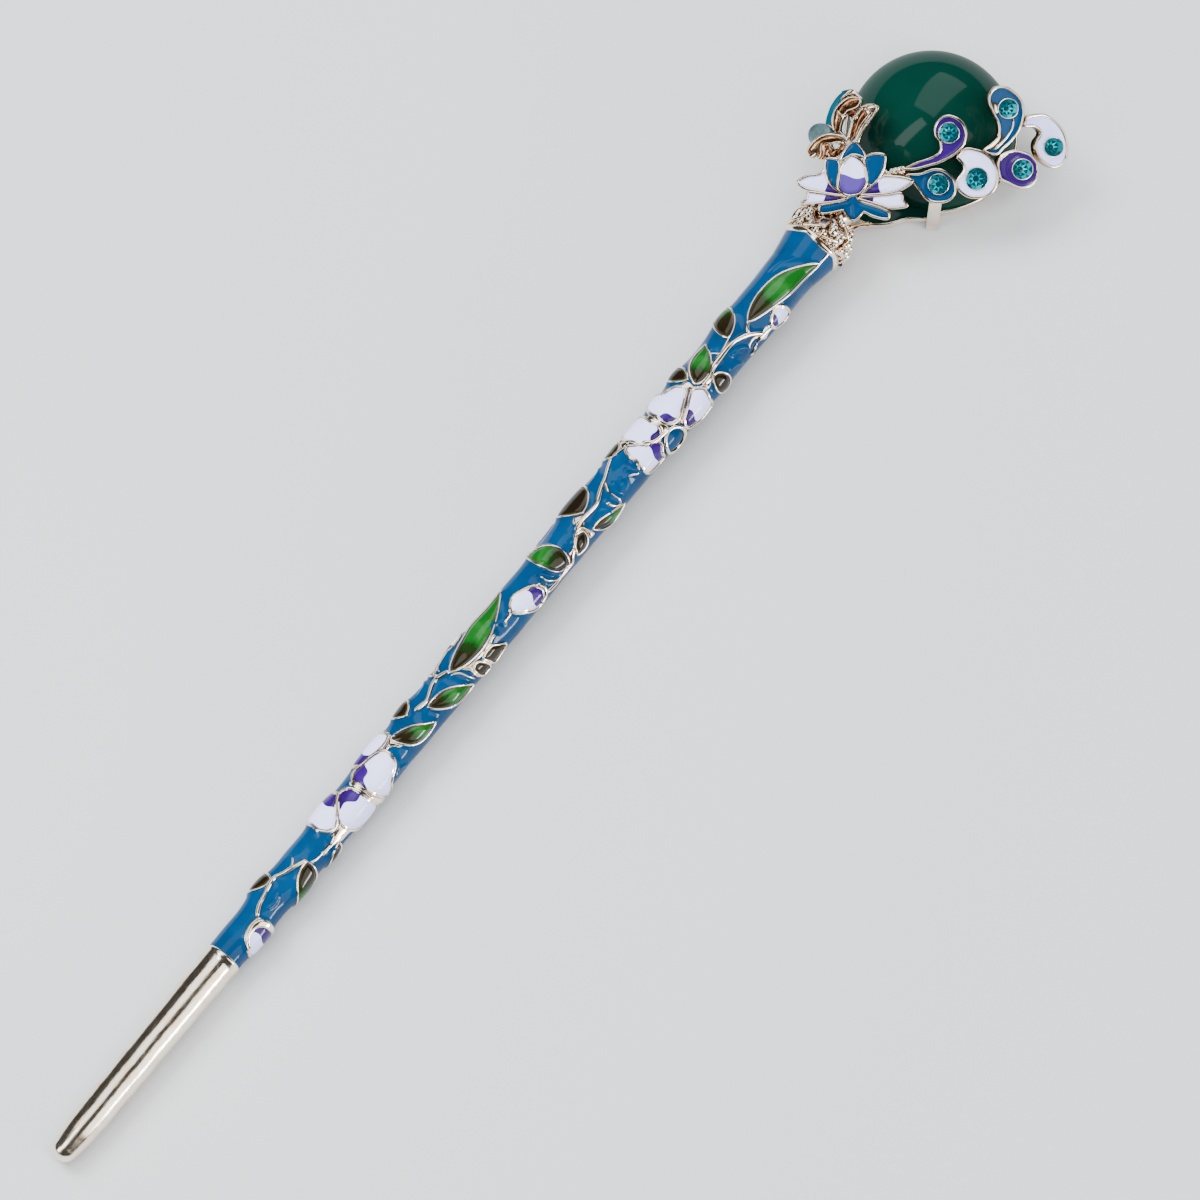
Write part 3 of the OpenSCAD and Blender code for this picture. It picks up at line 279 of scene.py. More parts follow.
# Lotus cells along the middle of their metal edges. Blue ones first.
LOTUS_BLUE = [
    [(-9.0, -0.75), (-10.1, -1.8), (-10.6, -2.9), (-9.9, -2.6), (-9.3, -2.3), (-8.5, -2.35), (-7.8, -2.6),
        (-7.9, -1.8)],
    [(-10.9, -2.9), (-12.2, -2.8), (-12.4, -3.4), (-12.3, -4.3), (-12.0, -5.1), (-11.5, -5.9),
        (-10.8, -6.5), (-10.9, -5.6), (-10.7, -4.2)],
    [(-7.8, -2.8), (-7.3, -2.35), (-6.3, -2.15), (-5.35, -2.4), (-5.35, -3.2), (-5.5, -3.9), (-5.9, -4.7),
        (-6.4, -5.4), (-7.1, -5.9), (-7.5, -5.2), (-7.6, -4.0)],
    [(-13.0, -8.25), (-12.3, -8.1), (-11.5, -7.95), (-10.5, -7.75), (-9.9, -7.5), (-9.4, -7.1),
        (-8.85, -7.05), (-8.55, -7.4), (-8.1, -7.8), (-7.3, -8.05), (-6.4, -8.35), (-5.6, -8.65),
        (-4.95, -9.0), (-4.85, -9.4), (-5.05, -9.75), (-5.9, -9.7), (-6.9, -9.4), (-7.5, -9.1),
        (-7.9, -9.0), (-8.3, -9.45), (-8.7, -9.85), (-9.1, -10.0), (-9.55, -9.65), (-9.95, -9.15),
        (-10.25, -8.8), (-10.9, -8.9), (-11.9, -9.1), (-12.9, -9.1)],
]
# Low ridges across the blue cell at the foot of the flower and over the violet roots
LOTUS_FOLDS = [
    [(-8.2, -6.8), (-6.8, -6.0), (-5.2, -5.3)],
    [(-7.8, -6.9), (-6.6, -6.45), (-5.2, -6.2)],
    [(-10.0, -6.8), (-11.0, -6.0), (-11.6, -5.3)],
    [(-10.2, -6.95), (-11.4, -6.5), (-12.2, -6.3)],
    [(-9.9, -7.35), (-11.0, -7.4), (-12.0, -7.5)],
    [(-8.6, -7.3), (-7.4, -7.45), (-6.2, -7.8)],
    [(-9.1, -7.3), (-9.5, -8.0), (-10.6, -8.2), (-12.6, -8.6)],
    [(-9.1, -7.3), (-9.2, -8.4), (-9.1, -9.6)],
    [(-9.1, -7.3), (-8.6, -8.1), (-7.2, -8.6), (-5.4, -9.3)],
]
# White cells with a violet root: a point on the line between the two and the way to the violet
LOTUS_WHITE = [
    ((-12.2, -6.0), (1.0, -0.15), [(-15.6, -5.5), (-14.5, -4.8), (-13.3, -4.65), (-12.75, -4.4),
        (-12.5, -3.9), (-12.25, -4.6), (-12.0, -5.3), (-11.4, -6.1), (-10.2, -7.0), (-12.0, -6.8),
        (-13.5, -6.5), (-14.8, -6.2)]),
    ((-12.4, -7.3), (1.0, -0.1), [(-14.3, -6.7), (-14.5, -7.4), (-15.1, -8.1), (-13.0, -7.95),
        (-11.0, -7.7), (-9.8, -7.3), (-11.6, -7.0), (-13.0, -6.8)]),
    ((-6.1, -5.9), (-1.0, -0.35), [(-2.2, -5.4), (-3.4, -4.95), (-5.6, -4.85), (-6.4, -5.5), (-7.2, -6.1),
        (-8.1, -6.95), (-7.0, -6.95), (-5.0, -6.8), (-3.8, -6.5), (-3.0, -6.1)]),
    ((-6.7, -7.6), (-1.0, 0.0), [(-3.5, -6.8), (-3.2, -7.6), (-2.8, -8.3), (-4.8, -8.5), (-6.3, -8.05),
        (-8.5, -7.4), (-7.0, -7.15), (-5.0, -7.0)]),
    ((-9.2, -4.95), (-0.15, -1.0), [(-9.3, -2.4), (-10.2, -3.2), (-10.7, -4.3), (-10.9, -5.4),
        (-10.7, -6.3), (-10.1, -6.95), (-9.2, -7.05), (-8.2, -6.7), (-7.5, -5.6), (-7.5, -4.4),
        (-8.0, -3.2)]),
]
# Height of the lotus's face, and the round foot behind it: x, y, radius, lower and upper end
LOTUS_Z = 12.0
LOTUS_FOOT = (-9.4, -5.0, 1.6, -3.6, -1.0)
# Curls: x about which the face turns, height of its top there, turn in degrees, stone (x, y, radius),
# colour, closed run of the outer edge
CURLS = [
    (2.1, 11.6, 0, (2.1, 0.25, 1.2), "violet", [(-3.4, -4.0), (-2.0, -4.1), (0, -3.6), (1.0, -3.3),
        (2.2, -2.7), (3.2, -2.0), (3.9, -1.2), (4.2, -0.3), (4.2, 0.5), (3.8, 1.4), (3.0, 2.1), (2.0, 2.4),
        (1.1, 2.1), (0.5, 1.4), (0.3, 0.6), (0.5, -0.2), (1.0, -0.9), (0.9, -1.9), (0, -2.5), (-1.0, -2.85),
        (-2.2, -3.3)]),
    (0.9, 11.6, 0, (0.9, -5.75, 1.2), "blue", [(-3.0, -4.6), (-1.3, -4.4), (-0.2, -4.0), (0.6, -3.85),
        (1.4, -4.0), (2.2, -4.5), (2.8, -5.2), (3.0, -6.0), (2.9, -6.9), (2.2, -7.7), (1.0, -8.0),
        (0, -7.85), (-0.8, -7.3), (-1.5, -6.3), (-2.2, -5.5)]),
    (5.4, 11.2, 8, (5.4, -5.1, 1.3), "white", [(4.0, -1.5), (5.2, -1.6), (6.3, -2.0), (7.3, -2.9),
        (7.9, -4.2), (7.9, -5.5), (7.5, -6.5), (6.8, -7.1), (5.8, -7.4), (4.7, -7.4), (3.8, -7.0),
        (3.1, -6.3), (2.9, -5.5), (3.1, -4.9), (3.6, -4.3), (3.8, -3.7), (3.5, -3.2), (3.0, -2.5)]),
    (9.0, 10.1, 17, (9.05, 3.1, 1.15), "blue", [(6.1, -1.8), (7.0, -1.0), (7.7, -0.3), (7.9, 0.5),
        (7.8, 1.5), (7.3, 2.4), (6.9, 3.3), (6.7, 4.2), (6.9, 5.0), (7.5, 5.6), (8.3, 5.75), (9.2, 5.5),
        (10.1, 4.8), (10.7, 4.0), (11.0, 3.0), (10.9, 2.0), (10.6, 0.9), (10.1, 0), (9.4, -0.9),
        (8.6, -1.6), (7.7, -2.4)]),
    (10.8, 9.4, 22, (10.8, -4.0, 1.2), "violet", [(8.1, -2.4), (9.0, -1.9), (10.0, -1.7), (11.0, -1.9),
        (11.8, -2.3), (12.5, -3.1), (12.7, -4.0), (12.6, -5.0), (12.0, -5.9), (11.0, -6.3), (10.0, -6.1),
        (9.0, -5.6), (8.2, -5.2), (7.9, -4.4), (7.8, -3.4)]),
    (14.2, 7.3, 31, (14.5, -1.4, 1.15), "white", [(11.2, 2.1), (12.0, 2.4), (13.2, 2.5), (14.2, 2.1),
        (15.2, 1.2), (15.9, 0.1), (16.2, -1.2), (16.2, -2.4), (15.7, -3.4), (14.6, -3.9), (13.6, -3.5),
        (12.8, -2.8), (12.3, -1.9), (12.3, -0.8), (12.9, 0.2), (12.2, 0.9), (11.0, 1.0)]),
]
# The second curl is a deep bowl. A low ridge runs about the stone of the second and of the fifth.
BOWL = 1
RIDGED = (1, 4)
# Inner ridges of the fourth and the fifth curl, and two bare bits of the fourth
FOURTH_RIDGE = [(9.7, 1.9), (9.6, 1.0), (9.2, 0.2), (8.6, -0.6), (7.5, -1.7)]
FIFTH_RIDGE = [(8.2, -3.0), (8.5, -2.6), (9.2, -2.15)]
FOURTH_FLOOR = [(6.5, -1.7), (7.0, -1.1), (7.7, -0.4), (7.95, 0.4), (8.4, 0.0), (8.3, -0.7), (7.5, -1.6)]
FOURTH_PATCH = [(7.25, 2.7), (7.8, 2.55), (7.95, 3.1), (7.75, 3.7), (7.2, 3.8)]
# Stem of beads from the lotus to the plume: first place, way to the last, number of beads
STEM_FROM, STEM_WAY, STEM_BEADS = (-6.0, -4.75, 11.42), (2.8, 0.7), 34
# Bars under the castings: two ends, width, height
BARS = [
    ((-6.1, -4.95, 11.0), (-3.2, -4.15, 11.0), 0.9, 0.9),
    ((-3.7, -4.35, 10.8), (-1.6, -4.9, 10.8), 0.6, 0.5),
    ((2.6, -1.8, 10.6), (4.6, -2.2, 10.6), 0.8, 0.5),
    ((5.6, -2.4, 10.35), (7.4, -1.4, 9.85), 0.8, 0.5),
    ((7.0, -4.2, 10.2), (8.8, -3.6, 9.4), 0.8, 0.5),
    ((10.0, 1.4, 9.0), (12.0, 1.6, 7.8), 0.8, 0.5),
]
# Post: x and y of its middle, height, width, thickness, and its turn in degrees
POST = (-9.75, -7.3, 7.0, 1.5, 0.8)
POST_TURN = -143
# Wing: x about which it turns, height there and turn in degrees, then the wing's thickness
WING_AT = (-9.6, 9.9, -27)
WING_T = 0.9
# Edges of the wing's leaf and of its curl
WING_EDGE = [
    (-9.4, -1.6), (-9.8, -0.5), (-10.5, -0.1), (-11.2, 0.1), (-11.6, 0.6), (-12.5, 1.5), (-12.3, 2.8),
    (-11.7, 4.0), (-10.9, 4.9), (-10.0, 5.35), (-9.2, 5.3), (-8.8, 4.7), (-8.3, 4.2), (-8.4, 3.4),
    (-7.8, 3.4), (-7.0, 3.6), (-6.3, 3.25), (-6.6, 2.6), (-7.1, 1.9), (-7.6, 1.2), (-8.2, 0.3),
    (-8.6, -0.7), (-8.7, -1.6),
]
WING_CURL = [
    (-9.8, -0.5), (-10.5, -0.1), (-11.3, 0.1), (-12.2, 0.2), (-13.0, 0), (-13.7, -0.4), (-14.3, -1.1),
    (-14.7, -1.8), (-14.6, -2.4), (-14.2, -2.75), (-13.2, -2.9), (-12.2, -2.9), (-11.4, -2.3),
    (-10.4, -1.8), (-9.6, -1.6),
]
# Slots through the wing's leaf and through its curl
WING_SLOTS = [
    [(-10.8, 0.5), (-10.65, 1.4), (-10.35, 1.95), (-9.95, 2.3), (-9.6, 2.0), (-9.45, 1.1), (-9.6, 0.2),
        (-9.9, -0.2), (-10.4, 0.1)],
    [(-11.9, -1.2), (-11.5, -1.0), (-11.0, -1.05), (-10.9, -1.35), (-11.2, -1.55), (-11.6, -1.5)],
]
# Enamel cells of the wing's outer side, its stone (x, y, radius) and the stone's cup (radius, height)
WING_CELLS = [
    [(-12.1, 1.7), (-11.9, 2.8), (-11.3, 3.9), (-10.6, 4.6), (-10.0, 4.9), (-9.3, 4.8), (-9.8, 4.2),
        (-10.6, 3.7), (-11.1, 2.9), (-11.4, 1.9), (-11.6, 1.2)],
    [(-9.0, -0.3), (-9.1, 0.6), (-8.7, 1.8), (-8.0, 2.8), (-7.2, 3.2), (-6.8, 3.0), (-7.4, 2.1),
        (-8.1, 1.0)],
]
WING_STONE = (-13.3, 0.0, 1.15)
WING_CUP = [
    (0, -0.37), (1.34, -0.37), (1.4, -0.43), (1.4, -1.43), (1.36, -1.48), (1.26, -1.48), (1.19, -1.4),
    (1.19, -0.8), (0, -0.8),
]
# Bare inner side of the wing. Wires: radius at the start and the end, height, run
WING_WIRES = [
    (0.17, 0.2, -0.02, [(-11.4, 0.5), (-11.6, 1.8), (-11.3, 2.8), (-10.9, 3.4), (-10.3, 4.0), (-9.6, 4.4),
        (-8.9, 4.5), (-8.4, 4.3), (-8.3, 3.9), (-8.6, 3.4), (-9.2, 3.1), (-9.8, 2.9), (-10.0, 2.6),
        (-10.4, 2.35), (-10.8, 2.55), (-11.0, 2.9)]),
    (0.2, 0.17, 0.04, [(-9.75, -0.5), (-9.5, 0.5), (-9.3, 1.3), (-9.05, 1.9), (-8.7, 2.4), (-8.3, 2.8),
        (-8.0, 3.2)]),
    (0.14, 0.2, -0.04, [(-8.35, 2.95), (-8.0, 3.35), (-7.4, 3.55), (-6.8, 3.55), (-6.4, 3.25), (-6.55, 2.7),
        (-7.0, 2.0), (-7.6, 1.35)]),
    (0.15, 0.12, -0.1, [(-7.6, 1.35), (-8.1, 0.5), (-8.5, -0.2), (-8.8, -0.7)]),
    (0.09, 0.12, -0.12, [(-8.9, -0.2), (-8.5, 0.8), (-8.1, 1.5), (-7.6, 2.1), (-7.2, 2.7)]),
    (0.08, 0.1, -0.14, [(-8.2, 0.9), (-7.8, 1.5), (-7.3, 2.1), (-6.9, 2.7)]),
    (0.2, 0.24, -0.02, [(-9.7, -0.6), (-10.5, -0.05), (-11.3, 0.15), (-12.2, 0.12), (-13.1, -0.25),
        (-13.8, -0.8), (-14.35, -1.5), (-14.5, -2.1)]),
    (0.12, 0.16, -0.08, [(-12.85, -0.9), (-13.0, -1.5), (-12.95, -2.1), (-13.0, -2.6)]),
    (0.13, 0.16, -0.1, [(-10.2, -1.0), (-10.7, -0.75), (-11.3, -0.82), (-11.9, -0.95), (-12.3, -1.15)]),
    (0.14, 0.14, -0.16, [(-10.1, -1.5), (-10.5, -2.1), (-11.0, -2.5), (-11.6, -2.7), (-12.3, -2.75)]),
    (0.12, 0.12, -0.16, [(-12.3, -1.9), (-12.1, -2.3), (-11.9, -2.6)]),
]
# Floors of the inner side: height in the middle, lift at the edge, coppery or not, run
WING_FLOORS = [
    (-0.24, 0.2, True, [(-11.1, 2.9), (-10.8, 3.5), (-10.2, 4.05), (-9.5, 4.4), (-8.8, 4.45), (-8.35, 4.2),
        (-8.3, 3.8), (-8.7, 3.45), (-9.3, 3.15), (-9.9, 2.95), (-10.3, 2.5), (-10.8, 2.5)]),
    (-0.26, 0.16, True, [(-11.5, 0.7), (-11.55, 1.6), (-11.4, 2.4), (-11.1, 2.9), (-10.8, 2.4),
        (-10.6, 1.9), (-10.8, 1.2), (-10.8, 0.6), (-11.1, 0.4)]),
    (-0.2, 0.14, True, [(-10.0, 2.5), (-9.6, 2.9), (-9.0, 2.9), (-8.9, 2.5), (-9.3, 2.2), (-9.7, 2.2)]),
    (-0.24, 0.16, True, [(-9.3, -0.3), (-9.2, 0.6), (-9.0, 1.4), (-8.7, 2.1), (-8.3, 2.7), (-7.9, 2.9),
        (-7.6, 2.4), (-8.1, 1.6), (-8.5, 0.9), (-8.9, -0.3)]),
    (-0.26, 0.14, False, [(-8.9, -0.3), (-8.5, 0.9), (-8.1, 1.6), (-7.6, 2.4), (-7.9, 3.2), (-7.4, 3.5),
        (-6.8, 3.55), (-6.3, 3.25), (-6.5, 2.7), (-7.0, 2.0), (-7.6, 1.3), (-8.2, 0.4), (-8.6, -0.4)]),
    (-0.27, 0.1, True, [(-14.4, -1.7), (-13.9, -0.9), (-13.1, -0.4), (-12.2, -0.1), (-11.2, -0.1),
        (-10.4, -0.5), (-11.2, -0.7), (-12.2, -0.8), (-12.8, -0.8), (-13.1, -1.5), (-13.5, -1.9),
        (-14.1, -2.0)]),
    (-0.24, 0.1, True, [(-12.8, -1.0), (-12.1, -1.1), (-11.9, -1.6), (-11.3, -1.8), (-10.7, -1.5),
        (-10.4, -1.2), (-10.1, -1.6), (-10.6, -2.3), (-11.4, -2.6), (-12.3, -2.7), (-13.0, -2.8),
        (-12.9, -1.8)]),
]
# Rounded lumps of the casting: x, y, height, half length, half width, turn in degrees, coppery or not
WING_LUMPS = [
    (-14.0, -2.38, -0.1, 0.55, 0.34, 12, False), (-13.25, -2.6, -0.2, 0.3, 0.24, 60, False),
    (-12.55, -2.65, -0.2, 0.26, 0.2, 0, True), (-11.5, -2.0, -0.14, 0.48, 0.34, 20, True),
    (-12.25, -2.05, -0.16, 0.34, 0.2, 80, False), (-10.85, -1.9, -0.18, 0.34, 0.2, 60, True),
    (-12.4, -1.45, -0.2, 0.22, 0.16, 30, True), (-8.75, 2.05, 0.04, 0.27, 0.22, 50, False),
    (-8.5, 2.6, 0.02, 0.27, 0.2, 40, False), (-8.15, 3.0, 0.02, 0.26, 0.2, 30, False),
    (-7.7, 3.05, -0.06, 0.24, 0.16, 140, False), (-7.35, 2.9, -0.1, 0.2, 0.14, 30, False),
    (-9.35, 3.7, -0.14, 0.3, 0.14, 50, True), (-10.3, 3.3, -0.16, 0.3, 0.16, 30, True),
    (-9.5, 2.5, -0.12, 0.3, 0.16, 10, True), (-8.9, 1.2, -0.12, 0.26, 0.12, 70, True),
    (-9.05, 0.5, -0.14, 0.22, 0.12, 70, True),
]
# Rounded lens by the wing's tip on the inner side, and the enamelled crescent along its outer edge
TIP_LENS = [
    (-10.75, 4.2), (-10.3, 4.85), (-9.8, 5.2), (-9.3, 5.25), (-8.95, 5.0), (-8.9, 4.7), (-9.4, 4.6),
    (-10.0, 4.4),
]
CRESCENT = [
    (-12.5, 1.3), (-12.4, 2.2), (-11.9, 3.5), (-11.2, 4.4), (-10.6, 5.0), (-10.2, 5.3), (-10.0, 5.2),
    (-10.7, 4.2), (-11.1, 3.5), (-11.5, 2.6), (-11.65, 1.4),
]
# Edge of the back plate: angle round the ball and radius
PLATE_EDGE = [
    (-174, 14.2), (-166, 13.1), (-159, 11.9), (-152, 11.4), (-146, 11.3), (-137, 10.5), (-125, 10.4),
    (-110, 10.4), (-95, 10.4), (-80, 10.4), (-65, 10.4), (-50, 10.4), (-35, 10.4), (-20, 10.4), (-5, 10.4),
    (10, 10.4), (25, 10.4), (40, 10.4), (55, 10.4), (70, 10.4), (85, 10.4), (100, 10.4), (115, 10.4),
    (130, 10.4), (141, 10.6), (148, 11.1), (155, 11.7), (163, 12.9), (171, 14.0), (179, 14.5),
]

# Stage, in metres
# Lights: name, place, aim, width and length, power in watts, tint, seen in reflections or not
PLAIN, WARM, COOL = (1.0, 1.0, 1.0), (1.0, 0.98, 0.94), (0.97, 0.985, 1.0)
LIGHTS = [
    ("big softbox", (0.235, 0.12, 0.365), (0.05, 0.12, 0), (0.3, 0.6), 1.8, PLAIN, True),
    ("strip", (-0.37, 0.13, 0.36), (0.0, 0.0, 0.006), (0.13, 0.68), 1.6, PLAIN, True),
    ("tip strip", (-0.139, 0.02, 0.07), (-0.139, 0.02, 0), (0.042, 0.0485), 0.0145, PLAIN, True),
    ("side panel", (0.0, -0.48, 0.30), (-0.05, 0, 0), (0.34, 0.5), 1.7, WARM, True),
    ("lamp", (0.02, -0.49, 0.088), (-0.1, 0, 0), (0.2, 0.08), 2.0, PLAIN, True),
    ("key", (-0.12, 0.5, 0.62), (-0.06, 0, 0), (0.4, 0.4), 11.8, COOL, False),
    ("fill", (-0.2, -0.25, 0.75), (-0.08, 0, 0), (0.6, 0.6), 8.8, COOL, False),
]
ROOM_COLOUR, ROOM_LIGHT = (0.8, 0.79, 0.77, 1), 0.075
FLOOR_COLOUR = (0.49, 0.5, 0.515)
CAMERA_AT = (-0.25871, -0.14805, 0.55530)
CAMERA_AIM = (-0.072444, -0.005684, 0.003)
CAMERA_LENS = 157.34


# Points and outlines
def smooth(points, per=6, closed=False):
    """A round run through the points, per new ones to each stretch."""
    p = np.asarray(points, float)
    n = len(p)
    u = np.linspace(0, 1, per, endpoint=False)[:, None]
    out = []
    for i in range(n if closed else n - 1):
        if closed:
            a, b, c, d = p[(i - 1) % n], p[i], p[(i + 1) % n], p[(i + 2) % n]
        else:
            a, b, c, d = p[max(0, i - 1)], p[i], p[i + 1], p[min(n - 1, i + 2)]
        out.append(b + 0.5 * u * (c - a) + u * u * (a - 2.5 * b + 2 * c - 0.5 * d)
                   + u ** 3 * (1.5 * (b - c) + 0.5 * (d - a)))
    if not closed:
        out.append(p[-1:])
    return np.vstack(out)


def even(points, step, closed=False):
    """The same run with points about step apart."""
    p = np.asarray(points, float)
    if closed:
        p = np.vstack([p, p[:1]])
    far = np.concatenate([[0], np.cumsum(np.linalg.norm(np.diff(p, axis=0), axis=1))])
    n = max(3, int(round(far[-1] / step)))
    t = np.linspace(0, far[-1], n + 1)
    q = np.column_stack([np.interp(t, far, p[:, k]) for k in range(p.shape[1])])
    return q[:-1] if closed else q


def loop_of(points, step, per=6):
    """Even points along the round closed run through the given ones."""
    return even(smooth(points, per, True), step, True)


def run_of(points, step, per=6):
    """Even points along the round open run through the given ones."""
    return even(smooth(points, per), step)


def blade(root, tip, width, bend=0.0, n=24):
    """Closed outline of a leaf with its belly a little before the middle."""
    b, t = np.array(root, float), np.array(tip, float)
    along = (t - b) / np.linalg.norm(t - b)
    side = np.array([-along[1], along[0]])
    u = np.linspace(0, 1, n)[:, None]
    half = width / 2 * np.abs(np.sin(np.pi * u ** 0.85)) ** 0.8
    mid = b + (t - b) * u + side * bend * 4 * u * (1 - u)
    return np.vstack([mid + side * half, (mid - side * half)[-2:0:-1]])


def grown(outline, d):
    """Closed outline moved outwards by d."""
    p = np.asarray(outline, float)
    e1 = p - np.roll(p, 1, axis=0)
    e2 = np.roll(p, -1, axis=0) - p
    area = np.sum(p[:, 0] * np.roll(p[:, 1], -1) - p[:, 1] * np.roll(p[:, 0], -1))
    k = 1.0 if area > 0 else -1.0
    n1 = np.column_stack([e1[:, 1], -e1[:, 0]]) / (np.linalg.norm(e1, axis=1)[:, None] + 1e-9)
    n2 = np.column_stack([e2[:, 1], -e2[:, 0]]) / (np.linalg.norm(e2, axis=1)[:, None] + 1e-9)
    m = k * (n1 + n2)
    return p + m * 2 * d / np.maximum(1.6, np.sum(m * m, axis=1))[:, None]


def depth_in(outline, xy):
    """How far each point lies inside a closed outline, below zero outside it."""
    a = np.asarray(outline, float)
    b = np.roll(a, -1, axis=0)
    ab = b - a
    ap = xy[:, None, :] - a[None]
    t = np.clip(np.sum(ap * ab, axis=2) / (np.sum(ab * ab, axis=1) + 1e-12), 0, 1)
    gap = np.sqrt(np.min(np.sum((ap - t[..., None] * ab) ** 2, axis=2), axis=1))
    y = xy[:, None, 1]
    over = (a[:, 1] > y) != (b[:, 1] > y)
    reach = a[:, 0] + (y - a[:, 1]) * ab[:, 0] / np.where(ab[:, 1] == 0, 1e-9, ab[:, 1])
    inside = np.sum(over & (xy[:, None, 0] < reach), axis=1) % 2 == 1
    return np.where(inside, gap, -gap)


# Places, from millimetres to metres
def motif_middles():
    """Middle and width of each leaf and petal, about which the ground swells."""
    mids = [((a + c) / 2, (b + d) / 2, wid) for a, b, c, d, wid, bend, dark in LEAVES]
    for root, tip, lo, hi, run in PETALS:
        m = np.mean(np.array(run), axis=0)
        mids.append((m[0], m[1], 3.2))
    return mids


SWELL = np.array(motif_middles())


def stick_radius(s, w):
    """Radius of the ground, which swells under each leaf and flower and runs unevenly between them."""
    r = np.interp(s, GROUND[:, 0], GROUND[:, 1])
    turn = w / r
    bulge = np.zeros_like(r)
    for ms, mw, wid in SWELL:
        across = (turn - mw / 2.5 + math.pi) % (2 * math.pi) - math.pi
        near = ((s - ms) / (0.8 + wid * 0.55)) ** 2 + (across * 2.5 / (0.7 + wid * 0.4)) ** 2
        bulge = np.maximum(bulge, np.exp(-near))
    wave = 0.035 * np.sin(s * 1.1 + 1.7 * np.sin(turn)) + 0.03 * np.sin(s * 0.43 + 2.2 * turn)
    room = 0.5 + 0.5 * np.clip(np.cos(turn) + 0.45, -1, 1)
    fade = np.clip((s - 29.0) / 3.0, 0, 1) * np.clip((138.6 - s) / 4.0, 0, 1)
    return r + room * fade * (0.3 * bulge + wave)


def round_stick(r, turn, s):
    """Place round the stick's axis, r from the axis itself."""
    out = TIP + s[:, None] * ALONG + (r * np.cos(turn))[:, None] * UP + (r * np.sin(turn))[:, None] * SIDE
    return out * MM


def on_stick(sw, h):
    """Place on the stick's ground, h above it."""
    s, w = sw[:, 0], sw[:, 1]
    turn = w / np.interp(s, GROUND[:, 0], GROUND[:, 1])
    return round_stick(stick_radius(s, w) + h, turn, s)


def on_face(x0=0.0, z0=0.0, turn=0.0):
    """Place in the flower's face, or in one that turns by turn degrees about x = x0 at height z0."""
    a = math.radians(turn)

    def place(xy, h):
        x = xy[:, 0] + h * math.sin(a)
        z = z0 - (xy[:, 0] - x0) * math.tan(a) + h * math.cos(a)
        out = x[:, None] * RIGHT + xy[:, 1:2] * AWAY + z[:, None] * OUT
        return (out + np.array([0, 0, PLATE_T])) * MM
    return place


def on_table(xy, h):
    """Place above the table."""
    return np.column_stack([xy, np.broadcast_to(h, len(xy))]) * MM


def upright(place, x, y):
    """Places round an upright axis at x, y of a face, for a turned piece."""
    return lambda r, turn, h: place(np.column_stack([x + r * np.cos(turn), y + r * np.sin(turn)]), h)


# Making pieces
def clear_choice():
    if bpy.context.object and bpy.context.object.mode != "OBJECT":
        bpy.ops.object.mode_set(mode="OBJECT")
    bpy.ops.object.select_all(action="DESELECT")


def choose(*objs):
    clear_choice()
    for o in objs:
        o.select_set(True)
    bpy.context.view_layer.objects.active = objs[0]


def points_of(obj):
    co = np.empty(len(obj.data.vertices) * 3)
    obj.data.vertices.foreach_get("co", co)
    return co.reshape(-1, 3)


def set_points(obj, co):
    obj.data.vertices.foreach_set("co", np.ascontiguousarray(co, dtype=float).ravel())
    obj.data.update()


def drop(obj, flags, kind="VERT"):
    """Deletes the flagged vertices, or the flagged faces if kind is FACE."""
    choose(obj)
    bpy.ops.object.mode_set(mode="EDIT")
    bpy.ops.mesh.select_mode(type=kind)
    bpy.ops.mesh.select_all(action="DESELECT")
    bpy.ops.object.mode_set(mode="OBJECT")
    items = obj.data.vertices if kind == "VERT" else obj.data.polygons
    items.foreach_set("select", flags)
    bpy.ops.object.mode_set(mode="EDIT")
    bpy.ops.mesh.delete(type=kind)
    bpy.ops.object.mode_set(mode="OBJECT")


def edit_all(obj, *steps):
    choose(obj)
    bpy.ops.object.mode_set(mode="EDIT")
    bpy.ops.mesh.select_all(action="SELECT")
    for step in steps:
        step()
    bpy.ops.object.mode_set(mode="OBJECT")


def faces_out(obj):
    edit_all(obj, lambda: bpy.ops.mesh.normals_make_consistent(inside=False))


def seam_closed(obj):
    """Joins the seam of a grid that was rolled into a tube."""
    edit_all(obj, lambda: bpy.ops.mesh.remove_doubles(threshold=2e-6))
    faces_out(obj)


def note(obj, name, values):
    """Writes a value for each vertex, which the materials read by its name."""
    old = obj.data.attributes.get(name)
    if old:
        obj.data.attributes.remove(old)
    obj.data.attributes.new(name, "FLOAT", "POINT").data.foreach_set(
        "value", np.ascontiguousarray(np.broadcast_to(values, len(obj.data.vertices)), dtype=float))


def paint(obj, material):
    obj.data.materials.clear()
    obj.data.materials.append(material)
    return obj


def joined(objs, name):
    objs = [o for o in objs if o is not None]
    choose(*objs)
    if len(objs) > 1:
        bpy.ops.object.join()
    obj = bpy.context.object
    obj.name = name
    obj.data.name = name
    return obj


def hand_in(obj, material, slot, *nodes, angle=40.0):
    """Finishes a piece: its material, its shading, its body and the CAD nodes that it stands for."""
    choose(obj)
    bpy.ops.object.transform_apply(location=True, rotation=True, scale=True)
    if material is not None:
        paint(obj, material)
    if angle:
        bpy.ops.object.shade_smooth_by_angle(angle=math.radians(angle))
    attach(obj, BODY)
    if nodes:
        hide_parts(*nodes)
    return obj


